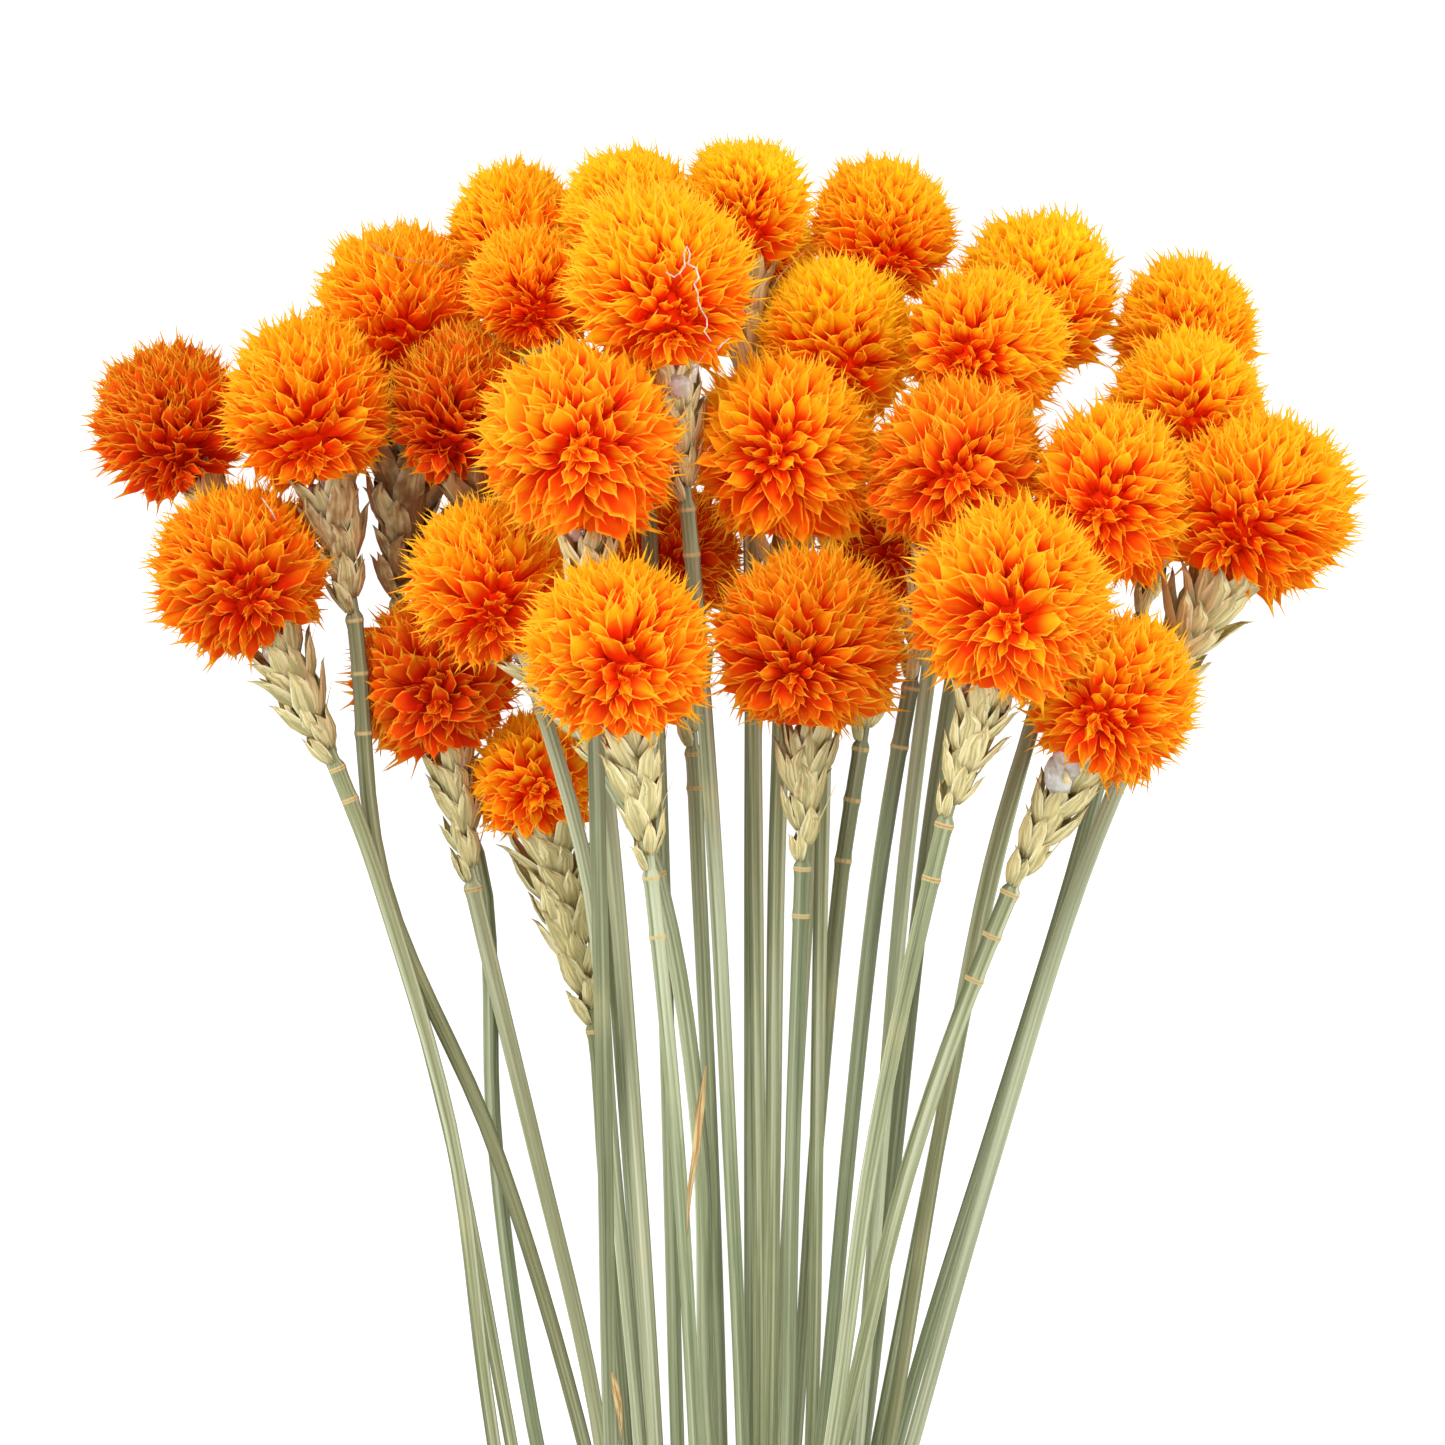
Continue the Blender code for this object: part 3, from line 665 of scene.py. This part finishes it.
def chaff_material():
    """Scales of the ear: tan with green veins, pale thin edges, brown in aged blotches and, on the ears
    listed as brown, brown as painted shade and reflected orange light.
    """
    look = settings("straws")
    sh = Shader("straw_chaff")
    side, along = sh.map("grain")
    tint, mark = sh.map("tint")
    streak = sh.noise(sh.vector(side, sh.times(along, 0.20), sh.times(tint, 7.0)), 8.0)
    blotch = sh.noise(sh.vector(sh.times(side, 0.5), along, sh.times(tint, 11.0)), 4.0)
    # Brown in blotches from ageing, and on the listed ears painted shade and reflected orange light.
    aged_and_shaded = sh.math("ADD", mark, sh.times(sh.math("SUBTRACT", blotch, 0.5), 1.2))
    cream = blend(look.tan, (1.0, 0.95, 0.62), 0.65)
    colour = sh.wash(blend(look.olive, look.tan, 0.4), look.tan, streak, 0.40, 0.58)
    colour = sh.wash(colour, cream, streak, 0.56, 0.70, 0.6)
    colour = sh.wash(colour, cream, sh.edge(side), 0.55, 0.95, 0.8)
    colour = sh.wash(colour, look.brown, aged_and_shaded, 0.45, 0.95, 0.85)
    colour = sh.wash(colour, look.brown, along, 0.80, 1.0, 0.35)
    sh.bump(sh.math("SINE", sh.times(side, 34.0)), 0.25, 0.0002)
    return sh.finish(colour, Roughness=0.6, Specular_IOR_Level=0.2)


def glue_material():
    """Clear glue with cloudy spots."""
    sh = Shader("glue_clear")
    cloud = sh.noise(sh.node("TexCoord", output="Object"), 700)
    colour = sh.wash((0.70, 0.63, 0.52), (0.98, 0.96, 0.92), cloud, 0.35, 0.6)
    sh.bump(cloud, 0.3, 0.0004)
    return sh.finish(colour, Roughness=0.15, Transmission_Weight=0.4, IOR=1.46)


def leaf_material():
    """A dry leaf: brown with paler veins along it."""
    look = settings("straws")
    sh = Shader("leaf_dry")
    side, along = sh.map("grain")
    streak = sh.noise(sh.vector(sh.times(side, 2.0), sh.times(along, 0.6), 0.0), 6.0)
    vein = blend(look.tan, look.brown, 0.35)
    colour = sh.wash(blend(look.brown, look.tan, 0.15), vein, streak, 0.40, 0.62)
    sh.bump(streak, 0.4, 0.0002)
    return sh.finish(colour, Roughness=0.6, Specular_IOR_Level=0.2)


def twine_material():
    """Jute: dark between its fibres."""
    look = settings("tie")
    sh = Shader("twine_jute")
    side, along = sh.map("grain")
    fibre = sh.noise(sh.vector(sh.times(side, 5.0), sh.times(along, 120.0), 0.0), 2.0, 4.0)
    colour = sh.wash(blend(look.twine, (0, 0, 0), 0.35), look.twine, fibre, 0.3, 0.7)
    sh.bump(fibre, 0.5, 0.0003)
    return sh.finish(colour, Roughness=0.85, Specular_IOR_Level=0.15)


# Heads

def square_to(vectors, heading):
    """Vectors less their parts along a heading."""
    return vectors - np.outer(vectors @ heading, heading)


def nearby_planes(number):
    """Planes that press a head: towards each touching head, its own ear and each straw passing by.

    Each is a direction, a distance from the head's middle, and what it is: None for a head, the width
    of the ear, or two places on a passing straw.
    """
    centre, radius = GLOBES[number]
    planes = []
    for other, (place, reach) in GLOBES.items():
        gap = norm(place - centre)
        if other != number and gap < radius + reach:
            toward = (place - centre) / gap
            planes.append((toward, (gap ** 2 + radius ** 2 - reach ** 2) / (2 * gap), None))
    for straw in EVERY_STRAW:
        if straw["number"] == number:
            toward = (straw["top"] - centre) / norm(straw["top"] - centre)
            planes.append((toward, CAD_SEAT * radius, EAR_PRESS))
            continue
        line = smooth_line(straw["knots"] + [straw["top"]], 0.001)
        away = norm(line - centre, axis=1)
        nearest = int(away.argmin())
        reach = straw["radii"][-1] + STRAW_SPACE
        if 1e-6 < away[nearest] < radius + reach:
            toward = (line[nearest] - centre) / away[nearest]
            after = line[min(nearest + 1, len(line) - 1)]
            planes.append((toward, away[nearest] - reach, (line[nearest], after)))
    return planes


def press(points, number, give):
    """Presses a head's points back behind its planes and lifts them off the floor."""
    centre, radius = GLOBES[number]
    for toward, offset, where in nearby_planes(number):
        past = (points - centre) @ toward - offset
        share = np.where(past > 0, past, 0)
        if where is None:
            share *= give
        elif isinstance(where, float):
            side = norm(square_to(points - centre, toward), axis=1)
            share *= np.clip(1.6 - side / where, 0, 1)
        else:
            start, after = where
            heading = (after - start) / max(1e-9, norm(after - start))
            side = norm(square_to(square_to(points - start, heading), toward), axis=1)
            share *= np.clip(1.8 - side / STRAW_PRESS, 0, 1)
        points -= np.outer(share, toward)
    points[:, 2] = np.maximum(points[:, 2], FLOOR_GAP)
    return points


def head(number, broad, narrow):
    """One head: bracts set in a spiral from the scar of its own stalk round to the other side."""
    look = settings("heads")
    centre, radius = GLOBES[number]
    x, y, tone = HEADS[number]
    rng = random.Random(number)
    pole = Vector((x, y, math.sqrt(1 - min(0.999, x ** 2 + y ** 2)))).normalized()
    east = pole.cross(Vector((0, 0, 1)) if abs(pole.z) < 0.9 else Vector((0, 1, 0))).normalized()
    north = pole.cross(east)
    middle = Vector(centre)
    straw = next(s for s in EVERY_STRAW if s["number"] == number)
    ear = Vector(straw["top"] - centre).normalized()

    def roots(polar):
        """Radius that the bracts grow from: it swells towards the scar."""
        return look.root + look.swell * max(0.0, 1 - polar / BROAD_REACH)

    bm = new_bm()
    bmesh.ops.create_icosphere(bm, subdivisions=2, radius=1)
    for v in bm.verts:
        v.co = middle + v.co * radius * (roots(v.co.angle(pole)) + 0.02)
    # The core takes the colour of the bracts' roots, the deep red painted shade under the bracts.
    grain = bm.loops.layers.uv["grain"]
    for loop in loops_of(bm):
        loop[grain].uv = (0.5, 0.0)
    seeds = [CROWN_REACH * math.sqrt((i + 0.5) / look.crown) for i in range(look.crown)]
    coarse = COARSE.get(number, 1.0)
    count = round(look.bracts * coarse)
    for i in range(count):
        sparse = 1 - look.crowd
        height = (math.sqrt(sparse ** 2 + 4 * look.crowd * (i + 0.5) / count) - sparse) / look.crowd
        if height > 0.16:
            seeds.append(math.acos(1 - height))
    start = rng.uniform(0, 6.28)
    outward = max(-1.0, min(1.0, centre[0] / 0.02))
    for i, seed in enumerate(seeds):
        polar = seed + rng.uniform(-0.08, 0.08)
        turn = start + i * GOLDEN + rng.uniform(-0.15, 0.15)
        inmost = max(0.0, 1 - seed / BROAD_REACH)
        side = fanned(east, north, turn)
        rooted = polar - 0.24 * inmost
        out = fanned(pole, side, rooted)
        down = side * math.cos(rooted) - pole * math.sin(rooted)
        share = min(1, abs(polar) / math.pi)
        stand = look.low + (look.high - look.low) * share * share * (3 - 2 * share) + rng.gauss(0, 0.15)
        stand += inmost * 0.40
        reach = rng.uniform(0.95, 1.14) + 0.19 * share ** 2 - inmost * rng.uniform(0.04, 0.15)
        reach *= 1 + 0.03 * math.sin(2 * turn + start) + 0.025 * math.sin(3 * turn - 4 * polar)
        skirt = max(0.0, out.dot(ear) - 0.45)
        root = roots(abs(rooted))
        length = math.sqrt(reach ** 2 - (root * math.cos(stand)) ** 2) - root * math.sin(stand)
        grow = fanned(down, out, stand)
        face = out * math.cos(stand) - down * math.sin(stand)
        face += side.cross(pole) * rng.uniform(-0.8, 0.8)
        grow += side.cross(pole) * rng.gauss(0, 0.12)
        broadly = seed + rng.uniform(-0.3, 0.3) < BROAD_REACH or rng.random() < skirt * 1.5
        # Painted light and shade: bracts facing the top of the picture, the head's outer side and up get a
        # higher tint, so more golden, the others redder, with a random tone on top.
        lit = 0.52 + 0.50 * out.y + 0.22 * outward * out.x + 0.08 * out.z + rng.gauss(0, 0.17)
        wide = rng.uniform(0.85, 1.2) / math.sqrt(coarse) * (1 + 0.2 * inmost)
        place = placed(middle + out * radius * root, grow, face, radius * length * (1 + 0.35 * skirt), wide)
        stamp(bm, rng.choice(broad if broadly else narrow), place, (lit, 0.0))
    materials = [bpy.data.materials[f"bract_{tone}"]]
    mesh = finish_piece(f"head_{number:02d}", bm, materials, f"bloom_{number:02d}").data
    points = press(coordinates(mesh), number, look.give)
    mesh.vertices.foreach_set("co", points.ravel())
    mesh.update()


def templates(name, count, outline, section, shape, wave, rng):
    """Several scales of one kind, whose keel, bow, curl and lean are each a number or a range."""
    made = []
    for _ in range(count):
        picked = [rng.uniform(*part) if isinstance(part, tuple) else part for part in shape]
        made.append(scale_shape(name, outline, section, *picked, wave, rng))
    return made


class BOUQUET_OT_heads(bpy.types.Operator):
    """Make the bracts of every head"""
    bl_idname = "bouquet.heads"
    bl_label = "Heads"

    def execute(self, context):
        rng = random.Random(5)
        for tone in sorted({values[2] for values in HEADS.values()}):
            bract_material(tone)
        broad = templates("broad", 12, BROAD_OUTLINE, SLIM_SECTION,
                          ((0.2, 1.0), (0.02, 0.09), (-0.10, 0.30), (-0.24, 0.24)), 0.45, rng)
        narrow = templates("narrow", 12, NARROW_OUTLINE, WEDGE_SECTION,
                           ((0.5, 1.2), (0.02, 0.09), (-0.20, 0.30), (-0.28, 0.28)), 0.45, rng)
        for number in HEADS:
            head(number, broad, narrow)
        for mesh in broad + narrow:
            bpy.data.meshes.remove(mesh)
        return {"FINISHED"}


# Straws

def straw(bm, data, glumes, threads, rng):
    """One straw with its node rings, hollow cut end and the stub of its ear."""
    look = settings("straws")
    line = smooth_line(data["knots"] + [data["top"]], 0.002)
    along = lengths(line)
    total = along[-1]
    foot = total - float(norm(data["top"] - data["knots"][-1]))
    rings = [foot - 0.0008]
    for _ in range(rng.choice((0, 0, 1, 1, 2))):
        rings.append(rings[-1] - rng.uniform(0.0045, 0.0085))
    places = [x for x in np.arange(0, total - 0.001, look.step) if all(abs(x - r) > 0.0022 for r in rings)]
    for r in rings:
        places += [r + shift for shift in RING_PLACES]
    places = np.array(sorted(places + [total - 0.0006]))
    knot_places = np.interp([k[1] for k in data["knots"]], line[:, 1], along)
    radii = np.interp(places, knot_places, data["radii"])
    tint = rng.random()
    ring_tone = rng.uniform(0.55, 0.85)
    marks = np.zeros(len(places))
    for k, x in enumerate(places):
        radii[k] *= np.interp(np.interp(x, along, line[:, 1]), (0.02, 0.11), (0.96, 1.10))
        for r in rings:
            if abs(x - r) < 0.001:
                radii[k] *= RING_SWELL if x == r else SHOULDER_SWELL
                marks[k] = ring_tone if x == r else 0.1
        if x > foot:
            radii[k] = 0.0008
    spine = np.column_stack([np.interp(places, along, line[:, k]) for k in range(3)])
    part, ends = tube(spine, radii, look.sides, look.flute)
    layer = part.loops.layers.uv["tint"]
    grain = part.loops.layers.uv["grain"]
    for loop in loops_of(part):
        row = min(len(places) - 1, max(0, round(loop[grain].uv.y * (len(places) - 1))))
        loop[layer].uv = (tint, marks[row])
        loop[grain].uv.y = places[row] / 0.1
    cut = min(ends, key=lambda f: f.calc_center_median().y)
    bmesh.ops.inset_region(part, faces=[cut], thickness=WALL)
    hole = bmesh.ops.extrude_face_region(part, geom=[cut])
    bmesh.ops.delete(part, geom=[cut], context="FACES_ONLY")
    inner = [v for v in hole["geom"] if isinstance(v, bmesh.types.BMVert)]
    bmesh.ops.translate(part, verts=inner, vec=Vector(line[3] - line[0]).normalized() * HOLLOW)
    bmesh.ops.recalc_face_normals(part, faces=part.faces)
    absorb(bm, part, None)
    ear(bm, data, glumes, threads, rng)


def front_of(side, heading):
    """The direction square to two others that looks up."""
    front = side.cross(heading)
    return -front if front.z < 0 else front


def ear(bm, data, glumes, threads, rng):
    """The stub of an ear: fans of scales on either side by turns, wider towards the head, and awns."""
    look = settings("straws")
    top = Vector(data["top"])
    base = Vector(data["knots"][-1])
    heading = (top - base).normalized()
    side = (Vector((1, 0, 0)) - heading * heading.x).normalized()
    side = fanned(side, front_of(side, heading), rng.uniform(-0.5, 0.5))
    front = front_of(side, heading)
    # The brown of the listed ears is painted shade and reflected orange light; the other ears get a random
    # browning.
    wide, age_and_shade = EARS.get(data["number"], (1.0, rng.uniform(-0.1, 0.3)))
    length = (top - base).length
    levels = round(look.levels * length / EAR_LENGTH)
    for level in range(levels):
        share = level / (levels - 1)
        away = side if level % 2 else -side
        root = base + heading * (0.0003 + share * (length - 0.005))
        for spread in FAN:
            facing = fanned(away, front, spread + rng.uniform(-0.25, 0.25)).normalized()
            grow = heading + facing * (0.16 + 0.24 * share + rng.uniform(-0.08, 0.16)) * wide
            size = rng.uniform(0.0062, 0.0092) * (0.6 + 0.4 * min(1, 2.2 * share)) * (0.6 + 0.4 * wide)
            place = placed(root + facing * 0.0011, grow, facing, size)
            stamp(bm, rng.choice(glumes), place, (rng.random(), age_and_shade + rng.uniform(-0.3, 0.3)), 1)
        if level % 2:
            facing = fanned(away, front, rng.uniform(-1.2, 1.2)).normalized()
            grow = heading + facing * rng.uniform(0.25, 0.55)
            place = placed(root + facing * 0.001, grow, facing, rng.uniform(0.009, 0.014))
            stamp(bm, rng.choice(threads), place, (rng.random(), age_and_shade), 1)


class BOUQUET_OT_straws(bpy.types.Operator):
    """Make every straw with the stub of its ear"""
    bl_idname = "bouquet.straws"
    bl_label = "Straws"

    def execute(self, context):
        rng = random.Random(11)
        materials = [straw_material(), chaff_material()]
        glumes = templates("glume", 7, GLUME_OUTLINE, SLIM_SECTION,
                           ((0.5, 0.9), (0.06, 0.13), (-0.05, 0.12), (-0.08, 0.08)), 0.1, rng)
        threads = templates("thread", 4, THREAD_OUTLINE, SLIM_SECTION,
                            (0.5, (-0.05, 0.05), (-0.2, 0.3), (-0.3, 0.3)), 0.1, rng)
        for node, straws in STRAWS.items():
            bm = new_bm()
            for data in straws:
                straw(bm, data, glumes, threads, rng)
            for v in {v for face in bm.faces if face.material_index == 1 for v in face.verts}:
                if v.co.z < BEND:
                    v.co.z = 0.0002 + 0.001 * math.exp((v.co.z - BEND) / 0.001)
            finish_piece(node.replace("stem", "straw"), bm, materials, node)
        for mesh in glumes + threads:
            bpy.data.meshes.remove(mesh)
        return {"FINISHED"}


# Glue, loose leaves and a hair

def height_at(x, y):
    """The height of the highest head or straw under a pixel of the photograph."""
    place = at_pixel(x, y, 0.04)
    height = 0.0
    for centre, radius in GLOBES.values():
        gap = math.hypot(place.x - centre[0], place.y - centre[1])
        if gap < radius:
            height = max(height, centre[2] + math.sqrt(radius ** 2 - gap ** 2))
    for straw in EVERY_STRAW:
        line = smooth_line(straw["knots"], 0.004)
        gaps = np.hypot(line[:, 0] - place.x, line[:, 1] - place.y)
        near = int(gaps.argmin())
        if gaps[near] < 0.003:
            height = max(height, line[near][2] + straw["radii"][-1])
    return height


def strand(bm, pixels, lifts, radii, sides, flat=1.0):
    """A thread, or with a low share of thickness a blade, lying over pixels of the photograph."""
    heights = [height_at(x, y) for x, y in pixels]
    least = max(heights) - DIP
    lifted = [max(height, least) + lift for height, lift in zip(heights, lifts)]
    knots = [at_pixel(x, y, height) for (x, y), height in zip(pixels, lifted)]
    line = smooth_line(knots, 0.002)
    shares = lengths(line) / lengths(line)[-1]
    part, _ = tube(line, np.interp(shares, np.linspace(0, 1, len(radii)), radii), sides)
    if flat < 1:
        for v in part.verts:
            near = line[int(norm(line - np.array(v.co), axis=1).argmin())]
            v.co.z = near[2] + (v.co.z - near[2]) * flat
    absorb(bm, part)


class BOUQUET_OT_glue(bpy.types.Operator):
    """Make the drops of clear glue that hold the heads, and the strings drawn from it"""
    bl_idname = "bouquet.glue"
    bl_label = "Glue"

    def execute(self, context):
        look = settings("glue")
        rng = random.Random(3)
        material = glue_material()
        for data in EVERY_STRAW:
            top = Vector(data["top"])
            heading = (top - Vector(GLOBES[data["number"]][0])).normalized()
            large = LARGE_DROPS.get(data["number"], 1.0)
            bm = new_bm()
            for k in range(3):
                out = Vector((rng.uniform(-1, 1), rng.uniform(-1, 1), rng.uniform(-0.2, 1)))
                out = (out - heading * out.dot(heading)).normalized()
                out.z += 2 * (large - 1)
                size = look.drop * rng.uniform(0.6, 1.1) * (0.5 + 0.5 * large)
                spot = top + heading * rng.uniform(0, 0.0022) * large + out.normalized() * 0.0018 * large
                part = new_bm()
                bmesh.ops.create_icosphere(part, subdivisions=2, radius=size)
                for v in part.verts:
                    v.co *= 1 + 0.22 * math.sin(v.co.x * 2600 + k) * math.cos(v.co.z * 2300 + k)
                bmesh.ops.scale(part, verts=part.verts, vec=(1.1, 1.5, 0.6))
                bmesh.ops.translate(part, verts=part.verts, vec=spot)
                absorb(bm, part)
            finish_piece(f"glue_{data['number']:02d}", bm, [material])
        bm = new_bm()
        for pixels in STRINGS:
            lifts = [rng.uniform(0.0004, 0.0012) for _ in pixels]
            strand(bm, pixels, lifts, (look.string, look.string * 1.4, look.string * 0.7), 5)
        finish_piece("glue_strings", bm, [material])
        return {"FINISHED"}


class BOUQUET_OT_trimmings(bpy.types.Operator):
    """Make the slivers of dry leaf among the straws and the loose hair"""
    bl_idname = "bouquet.trimmings"
    bl_label = "Trimmings"

    def execute(self, context):
        look = settings("trimmings")
        rng = random.Random(8)
        material = leaf_material()
        for k, pixels in enumerate(SLIVERS):
            bm = new_bm()
            width = look.sliver / 2
            strand(bm, pixels, [0.0006 + 0.0004 * rng.random() for _ in pixels],
                   (width * 0.15, width, width * 0.8, width * 0.5, width * 0.1), 8, 0.3)
            finish_piece(f"leaf_{k + 1}", bm, [material])
        bm = new_bm()
        strand(bm, HAIR, [0.0012] * len(HAIR), (look.hair, look.hair), 5)
        finish_piece("hair", bm, [material])
        return {"FINISHED"}


# Tie

class BOUQUET_OT_tie(bpy.types.Operator):
    """Wind the twine round the straws"""
    bl_idname = "bouquet.tie"
    bl_label = "Tie"

    def execute(self, context):
        look = settings("tie")
        low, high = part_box("tie")
        middle = (low + high) / 2
        points = node_points("tie")
        inner = np.hypot(points[:, 0] - middle.x, points[:, 2] - middle.z).min()
        radius = inner + look.radius * 0.60
        ply_radius = look.radius * 0.5
        pitch = 1.9 * look.radius
        turns = look.wraps - 0.02
        steps = int(turns * 90)
        shares = np.linspace(0, 1, steps + 1)
        angle = 2 * math.pi * turns * shares + 0.4
        spine = np.column_stack((
            middle.x + radius * np.cos(angle),
            middle.y + pitch * (look.wraps - 1) * (0.5 - shares),
            middle.z + radius * np.sin(angle),
        ))
        pairs = across(spine)
        lay = 2 * math.pi * lengths(spine) / look.twist
        bm = new_bm()
        for ply in range(look.plies):
            phase = lay + 2 * math.pi * ply / look.plies
            line = [Vector(p) + fanned(a, b, f) * ply_radius for p, (a, b), f in zip(spine, pairs, phase)]
            part, _ = tube(np.array(line), [ply_radius] * len(line), 7)
            absorb(bm, part)
        finish_piece("twine", bm, [twine_material()], "tie")
        return {"FINISHED"}


# Stage

class BOUQUET_OT_stage(bpy.types.Operator):
    """Set the light table, the lights and the camera of the photograph"""
    bl_idname = "bouquet.stage"
    bl_label = "Stage"

    def execute(self, context):
        look = settings("stage")
        scene = context.scene
        bm = bmesh.new()
        bmesh.ops.create_grid(bm, x_segments=1, y_segments=1, size=2)
        mesh = mesh_of(bm, "floor")
        sh = Shader("floor")
        seen = sh.node("LightPath", output="Is Camera Ray")
        glow = sh.math("MAXIMUM", seen, look.glow)
        mesh.materials.append(sh.finish(tuple(look.floor), Roughness=0.9, Specular_IOR_Level=0.1,
                                        Emission_Color=(1.0, 1.0, 1.0), Emission_Strength=glow))
        floor = add_object("floor", mesh)
        for name, power, size, place in (
            ("key", look.key, 0.6, Vector((-0.10, 0.85, 0.75))),
            ("left", look.side, 0.5, Vector((-0.80, 0.10, 0.32))),
            ("right", look.side, 0.5, Vector((0.80, 0.10, 0.32))),
            ("fill", look.fill, 0.8, Vector((0.25, -0.2, 1.1))),
        ):
            lamp = bpy.data.lights.new(name, "AREA")
            lamp.energy = power
            lamp.size = size
            stand = add_object(name, lamp)
            stand.location = place
            stand.rotation_euler = (PICTURE_MIDDLE - place).to_track_quat("-Z", "Y").to_euler()
        world = bpy.data.worlds.new("studio")
        world.use_nodes = True
        tree = world.node_tree
        background = tree.nodes["Background"].inputs
        background[0].default_value = (1.0, 1.0, 1.0, 1.0)
        brighter = tree.nodes.new("ShaderNodeMath")
        brighter.operation = "MAXIMUM"
        brighter.inputs[1].default_value = look.sky
        tree.links.new(tree.nodes.new("ShaderNodeLightPath").outputs["Is Camera Ray"], brighter.inputs[0])
        tree.links.new(brighter.outputs[0], background[1])
        scene.world = world
        camera = bpy.data.cameras.new("camera")
        camera.sensor_width = 36
        camera.lens = camera.sensor_width * CAMERA_REACH / PICTURE_WIDTH
        camera.clip_end = 10
        scene.camera = add_object("camera", camera)
        scene.camera.location = PICTURE_MIDDLE + Vector((0, 0, CAMERA_REACH))
        scene.view_settings.view_transform = "Standard"
        return {"FINISHED"}


class BOUQUET_PT_sidebar(bpy.types.Panel):
    """Lists the steps that make the bouquet, with their settings"""
    bl_label = "Bouquet"
    bl_idname = "BOUQUET_PT_sidebar"
    bl_space_type = "VIEW_3D"
    bl_region_type = "UI"
    bl_category = "Bouquet"

    def draw(self, context):
        for name, group in GROUPS.items():
            box = self.layout.box()
            box.operator("bouquet." + name)
            for key in group.__annotations__:
                box.prop(settings(name), key)


GROUPS = {"heads": HeadSettings, "straws": StrawSettings, "glue": GlueSettings, "trimmings": TrimmingSettings,
          "tie": TieSettings, "stage": StageSettings}
OPERATORS = (BOUQUET_OT_heads, BOUQUET_OT_straws, BOUQUET_OT_glue, BOUQUET_OT_trimmings, BOUQUET_OT_tie,
             BOUQUET_OT_stage)


def register():
    for name, group in GROUPS.items():
        bpy.utils.register_class(group)
        setattr(bpy.types.Scene, "bouquet_" + name, PointerProperty(type=group))
    for cls in OPERATORS + (BOUQUET_PT_sidebar,):
        bpy.utils.register_class(cls)


def unregister():
    for cls in OPERATORS + (BOUQUET_PT_sidebar,):
        bpy.utils.unregister_class(cls)
    for name, group in GROUPS.items():
        delattr(bpy.types.Scene, "bouquet_" + name)
        bpy.utils.unregister_class(group)


def main():
    register()
    bpy.ops.bouquet.heads()
    bpy.ops.bouquet.straws()
    bpy.ops.bouquet.glue()
    bpy.ops.bouquet.trimmings()
    bpy.ops.bouquet.tie()
    bpy.ops.bouquet.stage()


if __name__ == "__main__":
    main()
